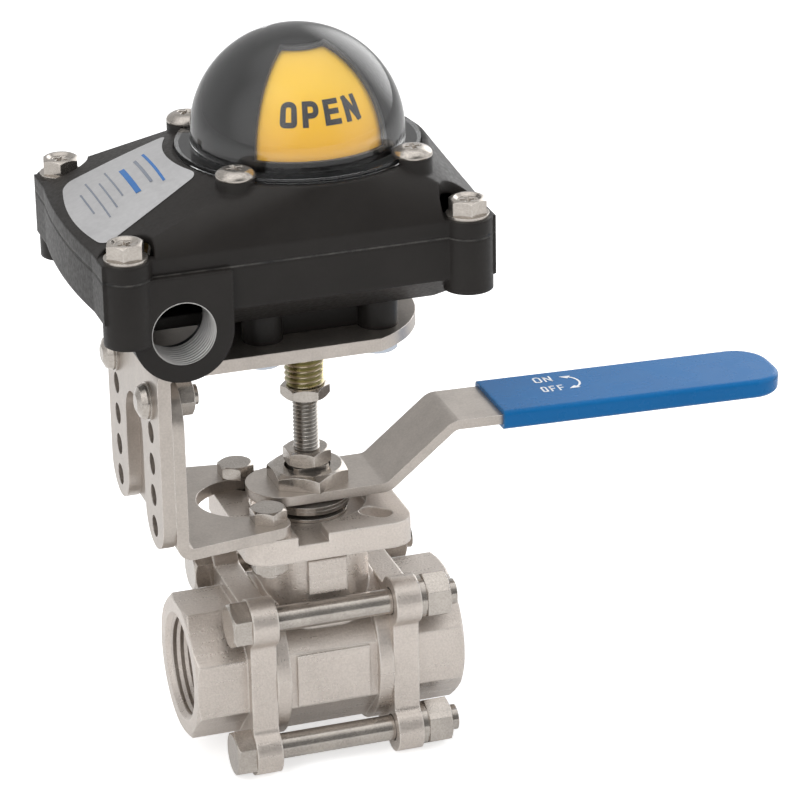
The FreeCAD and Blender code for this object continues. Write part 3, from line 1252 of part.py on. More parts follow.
def make_cover():
    """Make the cast cover: rim, lugs, slopes up to the round seat, posts and shaft bearing."""
    body = new_body("cover")
    rim_low = S.parting + S.gasket_thickness
    rim_top = S.parting + S.cover_rim
    rim = sketch_on(body, "XY_Plane", rim_low)
    draw_outline(rim, box_outline())
    pad(body, rim, rim_top - rim_low)
    lugs = sketch_on(body, "XY_Plane", rim_low)
    for x, y in lug_places():
        draw_circle(lugs, x, y, S.lug_radius)
    pad(body, lugs, rim_top - rim_low)
    slope_foot = sketch_on(body, "XY_Plane", rim_top)
    draw_outline(slope_foot, box_outline())
    slope_head = sketch_on(body, "XY_Plane", S.seat_ring_top)
    draw_ring_of_arcs(slope_head, S.seat_ring_radius)
    add_feature(body, "AdditiveLoft", slope_foot, Sections=[slope_head], Ruled=True)
    pockets = sketch_on(body, "XY_Plane", rim_top)
    for x, y in lug_places():
        draw_circle(pockets, x, y, S.bolt_pocket_radius)
    pocket(body, pockets, S.seat_ring_top - rim_top, reverse=True)
    posts = sketch_on(body, "XY_Plane", rim_top)
    for x, y, _ in four(S.dome_post_offset, S.dome_post_offset, 0):
        draw_circle(posts, x, y, S.dome_post_radius)
    post_top = S.dome_flange_bottom + S.dome_flange_thickness
    pad(body, posts, post_top - rim_top)
    seat = sketch_on(body, "XY_Plane", S.seat_plane)
    draw_circle(seat, 0, 0, S.dome_flange_radius + S.dome_play)
    pocket(body, seat, post_top - S.seat_plane, reverse=True)
    hollow = sketch_on(body, "XY_Plane", rim_low)
    draw_outline(hollow, box_outline(S.wall))
    pocket(body, hollow, rim_top - rim_low, reverse=True)
    hollow_foot = sketch_on(body, "XY_Plane", rim_top)
    draw_outline(hollow_foot, box_outline(S.wall))
    hollow_head = sketch_on(body, "XY_Plane", S.cover_ceiling)
    draw_ring_of_arcs(hollow_head, S.seat_ring_radius - S.wall / 2)
    add_feature(body, "SubtractiveLoft", hollow_foot, Sections=[hollow_head], Ruled=True)
    roots = sketch_on(body, "XY_Plane", rim_low)
    for x, y in lug_places():
        draw_circle(roots, x, y, S.lug_radius)
    pad(body, roots, rim_top - rim_low)
    cores = sketch_on(body, "XY_Plane", post_top - S.dome_screw_depth - 2)
    for x, y, _ in four(S.dome_post_offset, S.dome_post_offset, 0):
        draw_circle(cores, x, y, S.dome_post_radius)
    pad(body, cores, S.cover_ceiling - post_top + S.dome_screw_depth + 2)
    bolts = sketch_on(body, "XY_Plane", rim_low)
    for x, y in lug_places():
        draw_circle(bolts, x, y, S.cover_bolt_radius + S.bolt_clearance)
    pocket(body, bolts, S.cover_rim, reverse=True)
    screws = sketch_on(body, "XY_Plane", post_top)
    for x, y, _ in four(S.dome_post_offset, S.dome_post_offset, 0):
        draw_circle(screws, x, y, S.dome_screw_radius + S.thread_play)
    pocket(body, screws, S.dome_screw_depth + 0.5)
    bearing = sketch_on(body, "XY_Plane", S.seat_plane)
    draw_circle(bearing, 0, 0, S.shaft_radius + S.shaft_play)
    pocket(body, bearing, S.seat_plane - S.cover_ceiling + 1)
    return body


def draw_ring_of_arcs(sketch, radius):
    """Draw a circle as ten arcs whose ends answer the corners of the box's plan."""
    places = []
    for angle in RING_ANGLES:
        turn = math.radians(angle)
        places.append((radius * math.cos(turn), radius * math.sin(turn), radius))
    draw_outline(sketch, places)


def make_gasket():
    """Make the thin gasket between base and cover, with its holes for the cover bolts."""
    body = new_body("cover_gasket")
    plan = sketch_on(body, "XY_Plane", S.parting)
    draw_outline(plan, box_outline())
    pad(body, plan, S.gasket_thickness)
    lugs = sketch_on(body, "XY_Plane", S.parting)
    for x, y in lug_places():
        draw_circle(lugs, x, y, S.lug_radius)
    pad(body, lugs, S.gasket_thickness)
    inside = sketch_on(body, "XY_Plane", S.parting)
    draw_outline(inside, box_outline(S.wall))
    pocket(body, inside, S.gasket_thickness, reverse=True)
    roots = sketch_on(body, "XY_Plane", S.parting)
    for x, y in lug_places():
        draw_circle(roots, x, y, S.lug_radius)
    pad(body, roots, S.gasket_thickness)
    holes = sketch_on(body, "XY_Plane", S.parting)
    for x, y in lug_places():
        draw_circle(holes, x, y, S.cover_bolt_radius + S.bolt_clearance)
    pocket(body, holes, S.gasket_thickness, reverse=True)
    return body


def make_cover_bolting():
    """Make the four cover bolts and their washers."""
    rim_top = S.parting + S.cover_rim
    head_face = rim_top + S.cover_washer_height
    length = head_face - S.parting + S.cover_bolt_depth
    bolt = hexagon_screw(
        "cover_bolt", S.m6_flats, S.cover_head_height, S.cover_bolt_radius, length, turn=10.0)
    washer = turned(
        "cover_washer", tube(S.cover_bolt_radius + S.thread_play, S.cover_washer_radius, 0,
                             S.cover_washer_height), is_node=False)
    group_of("cover_bolts", bolt, [(x, y, head_face) for x, y in lug_places()])
    group_of("cover_bolt_washers", washer, [(x, y, rim_top) for x, y in lug_places()])


def make_dome():
    """Make the clear dome, its seal, its four screws and the black mask inside it."""
    flange_low = S.dome_flange_bottom
    flange_top = flange_low + S.dome_flange_thickness
    centre = S.dome_centre
    outer, inner = S.dome_radius, S.dome_radius - S.dome_wall
    dome = turned("indicator_dome", [
        (inner, flange_low), (S.dome_flange_radius, flange_low),
        (S.dome_flange_radius, flange_top), (outer, flange_top),
        (outer, centre, outer), (0, centre + outer), (0, centre + inner, -inner),
        (inner, centre)])
    notches = sketch_on(dome, "XY_Plane", flange_top)
    for x, y, _ in four(S.dome_post_offset, S.dome_post_offset, 0):
        draw_circle(notches, x, y, S.dome_screw_radius + S.bolt_clearance)
    pocket(dome, notches, S.dome_flange_thickness)
    turned("dome_seal", tube(
        S.dome_seal_inner, S.dome_seal_outer, S.seat_plane, S.dome_flange_bottom))
    height, radius = S.dome_head_height, S.dome_head_radius
    screw = new_body("dome_screw", False)
    turn_about(screw, [
        (0, height), (radius * 0.5, height * 0.94), (radius * 0.85, height * 0.62),
        (radius, height * 0.2), (radius, 0), (S.dome_screw_radius, 0),
        (S.dome_screw_radius, -S.dome_screw_depth), (0, -S.dome_screw_depth)], "V")
    group_of("dome_screws", screw, four(S.dome_post_offset, S.dome_post_offset, flange_top))
    mask = new_body("indicator_mask")
    outer, inner = S.mask_radius, S.mask_radius - S.mask_wall
    turn_about(mask, [
        (inner, S.seat_plane), (outer, S.seat_plane), (outer, centre, outer),
        (0, centre + outer), (0, centre + inner, -inner), (inner, centre)], "V")
    window = sketch_on(mask, "XY_Plane", centre)
    low, high = S.window_top_radius, outer + 1
    half = S.window_half_angle
    for sign in (-1, 1):
        draw_outline(window, [
            (-low * sine(half), low * cosine(half) * sign),
            (-high * sine(half), high * cosine(half) * sign, high * -sign),
            (0, high * sign, high * -sign),
            (high * sine(half), high * cosine(half) * sign),
            (low * sine(half), low * cosine(half) * sign, low * sign),
            (0, low * sign, low * sign)])
    pocket(mask, window, outer, reverse=True)


def make_rotor():
    """Make the turning indicator and the screw that holds it on the shaft."""
    rotor = new_body("indicator_rotor")
    outer, inner = S.rotor_radius, S.rotor_radius - S.rotor_wall
    hub, low, centre = S.rotor_hub_radius, S.rotor_bottom, S.dome_centre
    hub_top = low + S.rotor_hub_height
    web = hub_top - S.rotor_wall
    bore = S.shaft_radius + S.thread_play
    reach = root(inner * inner - (web - centre) * (web - centre))
    crown = root(inner * inner - (hub_top - centre) * (hub_top - centre))
    turn_about(rotor, [
        (bore, low), (hub, low), (hub, web), (reach, web, -inner), (inner, centre),
        (inner, low), (outer, low), (outer, centre, outer), (0, centre + outer),
        (0, centre + inner, -inner), (crown, hub_top), (bore, hub_top)], "V")
    screw = new_body("indicator_screw")
    head_low = S.rotor_bottom + S.rotor_hub_height
    reach = S.shaft_top - S.indicator_screw_depth
    washer_top = head_low + S.indicator_washer_height
    head_radius = S.dome_head_radius * 0.7
    turn_about(screw, [
        (0, reach), (S.dome_screw_radius, reach), (S.dome_screw_radius, head_low),
        (S.rotor_hub_radius - 1, head_low), (S.rotor_hub_radius - 1, washer_top),
        (head_radius, washer_top), (head_radius, washer_top + S.dome_head_height),
        (0, washer_top + S.dome_head_height)], "V")


def make_shaft_parts():
    """Make the box's shaft with its bush, seal ring and retaining ring."""
    shaft = new_body("switch_shaft")
    journal = S.shaft_journal_radius
    groove = journal - S.circlip_depth
    clip_low, clip_high = S.circlip_bottom, S.circlip_bottom + S.circlip_height
    seal_middle = S.journal_top - S.oring_inset
    seal_low, seal_high = seal_middle - S.oring_section, seal_middle + S.oring_section
    seal_floor = journal - S.oring_section * 2
    coupling_bore = S.coupling_radius + S.thread_play
    screw_bore = S.dome_screw_radius + S.thread_play
    screw_floor = S.shaft_top - S.indicator_screw_depth - 0.5
    turn_about(shaft, [
        (coupling_bore, S.shaft_bottom), (journal - 0.8, S.shaft_bottom),
        (journal, S.shaft_bottom + 0.8), (journal, seal_low),
        (seal_floor, seal_low), (seal_floor, seal_high), (journal, seal_high),
        (journal, clip_low), (groove, clip_low), (groove, clip_high), (journal, clip_high),
        (journal, S.journal_top), (S.shaft_radius, S.journal_top),
        (S.shaft_radius, S.shaft_top), (screw_bore, S.shaft_top), (screw_bore, screw_floor),
        (0, screw_floor), (0, S.shaft_bore_top), (coupling_bore, S.shaft_bore_top)], "V")
    cams_top = S.open_cam_bottom + S.cam_pitch + S.cam_height
    flats = sketch_on(shaft, "XY_Plane", S.journal_top)
    edge = S.shaft_flat / 2
    for sign in (-1, 1):
        low, high = edge * sign, (S.shaft_radius + 1) * sign
        far = S.shaft_radius + 1
        draw_outline(flats, rectangle(-far, low, far, high) if sign > 0
                     else rectangle(-far, high, far, low))
    pocket(shaft, flats, cams_top - S.journal_top, reverse=True)
    inner = journal + S.shaft_play
    turned("shaft_bush", tube(inner, inner + S.bush_wall, S.bush_bottom, S.floor))
    ring = new_body("shaft_oring")
    near = S.oring_section * (1 - EIGHTH_CORNER)
    far = S.oring_section * (1 + EIGHTH_CORNER)
    turn_about(ring, [
        (seal_floor, seal_low + near), (seal_floor + near, seal_low),
        (seal_floor + far, seal_low), (journal, seal_low + near),
        (journal, seal_low + far), (seal_floor + far, seal_high),
        (seal_floor + near, seal_high), (seal_floor, seal_low + far)], "V")
    clip = new_body("shaft_circlip")
    turn_about(clip, tube(groove, S.circlip_radius, clip_low, clip_high), "V")
    gap = sketch_on(clip, "XY_Plane", clip_low)
    draw_outline(gap, rectangle(0, -S.circlip_gap / 2, S.circlip_radius + 1, S.circlip_gap / 2))
    pocket(clip, gap, S.circlip_height, reverse=True)


def make_cam(label, low, nose_start):
    """Make one cam: a low disc with a nose of high radius from an angle in degrees."""
    body = new_body(label)
    disc = sketch_on(body, "XY_Plane", low)
    draw_circle(disc, 0, 0, S.cam_low_radius)
    pad(body, disc, S.cam_height)
    nose = sketch_on(body, "XY_Plane", low)
    nose_end = nose_start + S.cam_nose_angle
    high, base = S.cam_high_radius, S.cam_low_radius * 0.98

    def at(radius, angle):
        return (radius * cosine(angle), radius * sine(angle))

    draw_outline(nose, [
        (0, 0), at(base, nose_start - S.cam_ramp_angle), at(high, nose_start) + (high,),
        at(high, nose_end), at(base, nose_end + S.cam_ramp_angle)])
    pad(body, nose, S.cam_height)
    bore = sketch_on(body, "XY_Plane", low)
    draw_circle(bore, 0, 0, S.shaft_radius + S.cam_play)
    pocket(body, bore, S.cam_height, reverse=True)
    edge = S.shaft_flat / 2 + S.cam_play
    reach = root((S.shaft_radius + 1) * (S.shaft_radius + 1) - edge * edge)
    flats = sketch_on(body, "XY_Plane", low)
    for sign in (-1, 1):
        draw_outline(flats, [
            (-reach, edge * sign), (reach, edge * sign, (S.shaft_radius + 1) * sign),
            (0, (S.shaft_radius + 1) * sign, (S.shaft_radius + 1) * sign)])
    pad(body, flats, S.cam_height)
    return body


def lever_lean(cam_radius):
    """Return a switch lever's angle from +Y, in degrees, when its bump meets this radius."""
    reach = root(S.pivot_x * S.pivot_x + S.pivot_y * S.pivot_y)
    bearing = 90 - arc_tangent(S.pivot_y / S.pivot_x)
    stand = cam_radius + S.bump_radius + S.bump_gap
    length = S.lever_length
    return bearing - arc_cosine(
        (reach * reach + length * length - stand * stand) / (reach * length * 2))


def button_tip(lean):
    """Return where a switch's flat button ends, just behind its leaning lever."""
    slope = sine(lean) / cosine(lean)
    nearest = (S.button_place - S.button_radius) * slope
    return nearest - S.pivot_x - S.lever_thickness / (cosine(lean) * 2) - S.bump_gap


def make_switches():
    """Make the two cams, the switch plate, the switches with their levers, and their screws."""
    low = S.open_cam_bottom
    upper = low + S.cam_pitch
    pressed = lever_lean(S.cam_high_radius)
    relaxed = lever_lean(S.cam_low_radius)
    bump_x = -S.pivot_x + S.lever_length * sine(pressed)
    bump_y = -S.pivot_y + S.lever_length * cosine(pressed)
    contact = 180 + arc_tangent(bump_y / bump_x)
    make_cam("open_cam", low, contact - S.cam_nose_angle)
    make_cam("closed_cam", upper, contact + 90)
    bore = S.shaft_radius + S.cam_play
    thick = S.cam_spring_thickness
    turned("cam_spring", [
        (bore, low + S.cam_height), (bore + 1, low + S.cam_height), (S.cam_low_radius, upper - thick),
        (S.cam_low_radius, upper), (S.cam_low_radius - 1, upper), (bore, low + S.cam_height + thick)])

    first = low + S.cam_height / 2 - S.switch_thickness / 2
    plate_low = plate_underside()
    plate = new_body("switch_plate")
    left, right, half = -S.plate_left, S.plate_right, S.plate_half_depth
    plan = sketch_on(plate, "XY_Plane", plate_low)
    draw_outline(plan, rounded_rectangle(left, -half, right, half, S.plate_corner))
    draw_circle(plan, 0, 0, S.plate_hole_radius)
    pad(plate, plan, S.plate_thickness)
    holes = sketch_on(plate, "XY_Plane", plate_low)
    screw_hole = S.plate_screw_radius + S.thread_play
    for x, y in pillar_places():
        draw_circle(holes, x, y, screw_hole)
    switch_x = -S.switch_face - S.switch_screw_inset
    switch_screws = [(switch_x, S.switch_screw_pitch / 2 * sign) for sign in (-1, 1)]
    for x, y in switch_screws:
        draw_circle(holes, x, y, screw_hole)
    pocket(plate, holes, S.plate_thickness, reverse=True)
    screw_end = S.floor - first + 0.6
    plate_screw = turned("plate_screw", small_screw(screw_end), is_node=False)
    group_of("plate_screws", plate_screw, [(x, y, first) for x, y in pillar_places()])
    top = first + S.cam_pitch + S.switch_thickness
    long_screw = turned("switch_screw", small_screw(plate_low - top), is_node=False)
    group_of("switch_screws", long_screw, [(x, y, top) for x, y in switch_screws])
    settings = (
        ("open", first, low, pressed), ("closed", first + S.cam_pitch, upper, relaxed))
    for name, bottom, cam_low, lean in settings:
        make_switch(name, bottom, cam_low + S.cam_height / 2, lean, switch_screws)
    print("lever angles", round(pressed.number, 3), round(relaxed.number, 3))
    print("button tips", round(button_tip(pressed).number, 4), round(button_tip(relaxed).number, 4))


def small_screw(end):
    """Return the half section of a small screw: head above 0, thread down to end."""
    head, radius = S.plate_screw_height, S.plate_screw_head
    return [
        (0, head), (radius * 0.6, head), (radius, head * 0.3), (radius, 0),
        (S.plate_screw_radius, 0), (S.plate_screw_radius, end), (0, end)]


def plate_underside():
    """Return the height of the switch plate, which carries the lower switch at its cam."""
    return S.open_cam_bottom + S.cam_height / 2 - S.switch_thickness / 2 - S.plate_thickness


def pillar_places():
    """Return the places of the four pillars under the switch plate."""
    middle = (S.plate_right - S.plate_left) / 2
    return [
        (middle + S.pillar_x * sx, S.pillar_y * sy) for sx in (-1, 1) for sy in (-1, 1)]


def make_switch(name, bottom, mid_height, lean, screw_places):
    """Make one switch, its button and its lever. lean is the lever's angle from +Y."""
    face, half = -S.switch_face, S.switch_length / 2
    body = new_body("%s_switch" % name)
    plan = sketch_on(body, "XY_Plane", bottom)
    draw_outline(plan, rectangle(face - S.switch_height, -half, face, half))
    for x, y in screw_places:
        draw_circle(plan, x, y, S.plate_screw_radius + S.thread_play)
    pad(body, plan, S.switch_thickness)
    x, y = -S.pivot_x, -S.pivot_y
    eye = S.lever_eye_radius
    inner_ear = S.lever_width / 2 + S.ear_gap
    for sign in (-1, 1):
        ear = sketch_on(body, "XY_Plane", mid_height + inner_ear * sign)
        draw_outline(ear, rectangle(face - 0.5, y - eye, x + eye, y + eye))
        pad(body, ear, S.ear_thickness, reverse=sign < 0)
    pin = sketch_on(body, "XY_Plane", mid_height)
    draw_circle(pin, x, y, S.pivot_pin_radius)
    pad(body, pin, (inner_ear + S.ear_thickness / 2) * 2, both_ways=True)
    button_y = -S.pivot_y + S.button_place
    button_hole = sketch_on(body, "YZ_Plane", face)
    draw_circle(button_hole, button_y, mid_height, S.button_radius + S.button_play)
    pocket(body, button_hole, S.button_depth)
    for index in (-1, 0, 1):
        blade = sketch_on(body, "YZ_Plane", face - S.switch_height)
        across, tall = S.lever_width / 2, S.lever_thickness / 2
        middle = S.blade_pitch * index
        draw_outline(blade, rectangle(
            middle - across, mid_height - tall, middle + across, mid_height + tall))
        pad(body, blade, S.blade_length, reverse=True)

    lever = new_body("%s_switch_lever" % name)
    thick = S.lever_thickness
    strip = sketch_on(lever, "XY_Plane", -S.lever_width / 2)
    draw_outline(strip, rectangle(0 - thick / 2, 0, thick / 2, S.lever_length))
    pad(lever, strip, S.lever_width)
    for distance, radius in ((S.lever_length, S.bump_radius), (0, eye)):
        round_part = sketch_on(lever, "XY_Plane", -S.lever_width / 2)
        draw_circle(round_part, 0, distance, radius)
        pad(lever, round_part, S.lever_width)
    bore = sketch_on(lever, "XY_Plane", -S.lever_width / 2)
    draw_circle(bore, 0, 0, S.pivot_pin_radius + S.stem_play)
    pocket(lever, bore, S.lever_width, reverse=True)
    place(lever, x, y, mid_height, FreeCAD.Rotation(FreeCAD.Vector(0, 0, 1), -lean.number))
    lever.setExpression("Placement.Rotation.Angle", (-lean).text)

    button = new_body("%s_switch_button" % name)
    tip = button_tip(lean)
    sketch = sketch_on(button, "YZ_Plane", tip)
    draw_circle(sketch, button_y, mid_height, S.button_radius)
    pad(button, sketch, tip - face + S.button_inside, reverse=True)


def make_terminals():
    """Make the terminal block with its screws, the earth screw and the blanking plug."""
    block = new_body("terminal_block")
    left, front = S.terminal_left, S.terminal_front
    low, high = S.terminal_shelf, S.terminal_shelf + S.terminal_height
    back = front + S.terminal_depth
    side = sketch_on(block, "YZ_Plane", left)
    step = low + S.terminal_step
    draw_outline(side, [
        (front, low), (back, low), (back, high), (front + S.terminal_step, high),
        (front + S.terminal_step, step), (front, step)])
    pad(block, side, S.terminal_length)
    count = int(S.terminal_count.number)
    pitch = S.terminal_length / count
    bores = sketch_on(block, "XY_Plane", high)
    places = []
    for index in range(count):
        x = left + pitch * (index + 0.5)
        y = (front + S.terminal_step + back) / 2
        places.append((x, y, high))
        draw_circle(bores, x, y, S.plate_screw_radius + S.thread_play)
    pocket(block, bores, S.terminal_step)
    screw = turned("terminal_screw", [
        (0, S.plate_screw_height), (S.plate_screw_head, S.plate_screw_height),
        (S.plate_screw_head, 0), (S.plate_screw_radius, 0),
        (S.plate_screw_radius, -S.terminal_step + 0.3), (0, -S.terminal_step + 0.3)],
        is_node=False)
    group_of("terminal_screws", screw, places)
    plug = new_body("conduit_plug")
    face = S.conduit_face
    thread = sketch_on(plug, "XZ_Plane", -face)
    draw_circle(thread, S.conduit_x, S.conduit_z, S.conduit_radius - S.thread_play)
    pad(plug, thread, S.plug_length)
    key = sketch_on(plug, "XZ_Plane", -face)
    draw_outline(key, polygon(S.plug_key, 6, S.conduit_x, S.conduit_z))
    pocket(plug, key, S.plug_key / 2, reverse=True)


for label, side in (("end_cap_left", -1), ("end_cap_right", 1)):
    make_end_cap(label, side)
make_valve_body()
make_ball_and_seats()
make_body_bolting()
make_stem_parts()
make_handle()
make_coupling()
make_lower_bracket()
make_upper_bracket()
make_bracket_screws()
make_base()
make_cover()
make_gasket()
make_cover_bolting()
make_dome()
make_rotor()
make_shaft_parts()
make_switches()
make_terminals()

os.makedirs("parts", exist_ok=True)
for item in doc.Objects:
    if "Invalid" in item.State or "Error" in item.State:
        raise RuntimeError("%s is %s" % (item.Label, item.State))
for node in NODES:
    if node.Shape.isNull() or not node.Shape.isValid():
        raise RuntimeError("%s has no valid shape" % node.Label)
    node.Shape.exportStep(os.path.join("parts", "%s.step" % node.Label))
    print(node.Label, len(node.Shape.Solids), round(node.Shape.Volume, 1))
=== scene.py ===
"""Looks of a valve limit switch box that stands on brackets over a lever-operated ball valve."""

import json
import logging
import math
from dataclasses import dataclass
from enum import Enum
from typing import Callable, Iterable, Mapping, Sequence

import bmesh
import bpy
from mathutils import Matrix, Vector
from mathutils.bvhtree import BVHTree


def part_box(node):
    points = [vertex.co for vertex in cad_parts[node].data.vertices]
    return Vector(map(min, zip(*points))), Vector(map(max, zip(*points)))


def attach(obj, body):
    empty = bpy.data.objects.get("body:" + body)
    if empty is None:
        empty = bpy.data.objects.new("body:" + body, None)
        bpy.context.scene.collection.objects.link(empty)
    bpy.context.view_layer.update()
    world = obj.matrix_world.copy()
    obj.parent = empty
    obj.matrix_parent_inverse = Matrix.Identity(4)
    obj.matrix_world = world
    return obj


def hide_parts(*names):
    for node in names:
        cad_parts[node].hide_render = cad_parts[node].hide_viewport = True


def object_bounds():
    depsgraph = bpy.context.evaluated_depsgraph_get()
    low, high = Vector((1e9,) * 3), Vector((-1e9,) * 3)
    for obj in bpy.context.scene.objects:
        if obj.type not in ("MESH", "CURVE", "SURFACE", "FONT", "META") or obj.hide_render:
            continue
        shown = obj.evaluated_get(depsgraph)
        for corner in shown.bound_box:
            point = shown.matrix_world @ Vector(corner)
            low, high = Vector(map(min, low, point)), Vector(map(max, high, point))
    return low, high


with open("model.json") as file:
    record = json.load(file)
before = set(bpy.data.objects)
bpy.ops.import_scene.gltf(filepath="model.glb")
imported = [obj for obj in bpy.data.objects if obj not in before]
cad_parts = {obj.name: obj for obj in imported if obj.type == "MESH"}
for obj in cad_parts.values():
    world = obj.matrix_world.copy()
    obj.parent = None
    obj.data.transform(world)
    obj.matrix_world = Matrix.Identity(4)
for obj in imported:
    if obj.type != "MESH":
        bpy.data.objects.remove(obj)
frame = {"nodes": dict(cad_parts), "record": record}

CAD_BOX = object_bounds()
LOG = logging.getLogger("switch_box_looks")
MM = 0.001
FULL_TURN = 2 * math.pi
ROUND_STEPS = 48
SAME_PLACE = 1e-6
Colour = tuple[float, float, float]
Value = float | tuple | bpy.types.NodeSocket


class Body(Enum):
    """The CAD bodies that the new pieces ride on."""

    FIXED = "valve_and_box"
    DRIVE = "drive_train"


class Axis(Enum):
    """The row axis that a thread runs along, with the order that turns it onto Z."""

    X = (1, 2, 0)
    Y = (0, 2, 1)
    Z = (0, 1, 2)


def corners(node: str) -> tuple[Vector, Vector]:
    """Give a node's lowest and highest corner in millimetres.

    Args:
        node: Name of the CAD node.

    Returns:
        The two corners.
    """
    low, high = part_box(node)
    return low / MM, high / MM


def circle(x: float, y: float, z: float, radius: float, start: float = 0.0) -> list[Vector]:
    """Give points round a level circle.

    Args:
        x: Middle, along X.
        y: Middle, along Y.
        z: Height.
        radius: Radius.
        start: Angle of the first point, in radians.

    Returns:
        The points, counter-clockwise.
    """
    steps = [start + FULL_TURN * i / ROUND_STEPS for i in range(ROUND_STEPS)]
    return [Vector((x + radius * math.cos(a), y + radius * math.sin(a), z)) for a in steps]


class Sheet:
    """Places and joins nodes in one node tree."""

    def __init__(self, tree: bpy.types.NodeTree) -> None:
        """Keep the tree that the nodes go into."""
        self.tree = tree

    def add(self, kind: str, values: Mapping[int | str, Value] | None = None,
            **settings: object) -> bpy.types.Node:
        """Add a node with its settings, and set or join its inputs.

        Args:
            kind: Blender's name of the node type.
            values: Numbers for inputs, or sockets that are joined to them.
            settings: Properties of the node.

        Returns:
            The node.
        """
        node = self.tree.nodes.new(kind)
        for name, value in settings.items():
            setattr(node, name, value)
        for key, value in (values or {}).items():
            if isinstance(value, bpy.types.NodeSocket):
                self.tree.links.new(value, node.inputs[key])
            else:
                node.inputs[key].default_value = value
        return node

    def reckon(self, operation: str, first: Value, second: Value = 0.0,
               clamp: bool = False) -> bpy.types.NodeSocket:
        """Join two numbers by one operation.

        Args:
            operation: Name of the operation.
            first: First number.
            second: Second number.
            clamp: Whether the result stays between 0 and 1.

        Returns:
            The result's socket.
        """
        values = {0: first, 1: second}
        return self.add("ShaderNodeMath", values, operation=operation, use_clamp=clamp).outputs[0]

    def spread(self, value: Value, low: float, high: float, to_low: float = 0.0,
               to_high: float = 1.0) -> bpy.types.NodeSocket:
        """Map a number from one range to another.

        Args:
            value: The number.
            low: Low end of its range.
            high: High end of its range.
            to_low: Low end of the new range.
            to_high: High end of the new range.

        Returns:
            The mapped number's socket.
        """
        return self.add("ShaderNodeMapRange", {
            "Value": value, "From Min": low, "From Max": high, "To Min": to_low,
            "To Max": to_high}).outputs["Result"]

    def blend(self, share: Value, first: Value, second: Value) -> bpy.types.NodeSocket:
        """Blend two colours.

        Args:
            share: Share of the second colour.
            first: First colour, three numbers or a socket.
            second: Second colour.

        Returns:
            The blended colour's socket.
        """
        pair = [(*c, 1.0) if isinstance(c, tuple) else c for c in (first, second)]
        values = {0: share, 6: pair[0], 7: pair[1]}
        return self.add("ShaderNodeMix", values, data_type="RGBA").outputs[2]

    def here(self) -> bpy.types.NodeSocket:
        """Give the place on the object, in metres."""
        return self.add("ShaderNodeTexCoord").outputs["Object"]

    def apart(self, place: Value) -> Sequence[bpy.types.NodeSocket]:
        """Give the three numbers of a place."""
        return self.add("ShaderNodeSeparateXYZ", {0: place}).outputs

    def away(self, apart: Sequence[bpy.types.NodeSocket]) -> bpy.types.NodeSocket:
        """Give the distance from the Z axis.

        Args:
            apart: The three numbers of the place.

        Returns:
            The distance's socket.
        """
        squares = [self.reckon("MULTIPLY", apart[i], apart[i]) for i in range(2)]
        return self.reckon("SQRT", self.reckon("ADD", *squares))

    def bump(self, height: Value, normal: Value | None = None,
             strength: float = 1.0) -> bpy.types.NodeSocket:
        """Turn a height in metres into a normal.

        Args:
            height: The height.
            normal: The normal that it stands on, if not the surface's own.
            strength: Share of the height that counts.

        Returns:
            The new normal's socket.
        """
        values = {"Strength": strength, "Distance": 1.0, "Height": height}
        if normal is not None:
            values["Normal"] = normal
        return self.add("ShaderNodeBump", values).outputs[0]

    def places(self, axis: Axis, centre: Sequence[float]) -> bpy.types.NodeSocket:
        """Give the place on the object, from a centre, with an axis turned onto Z.

        Args:
            axis: The axis that becomes Z.
            centre: The new zero, in metres.

        Returns:
            The place's socket.
        """
        moved = self.add("ShaderNodeVectorMath", {0: self.here(), 1: tuple(centre)},
                         operation="SUBTRACT").outputs[0]
        apart = self.apart(moved)
        order = {i: apart[source] for i, source in enumerate(axis.value)}
        return self.add("ShaderNodeCombineXYZ", order).outputs[0]


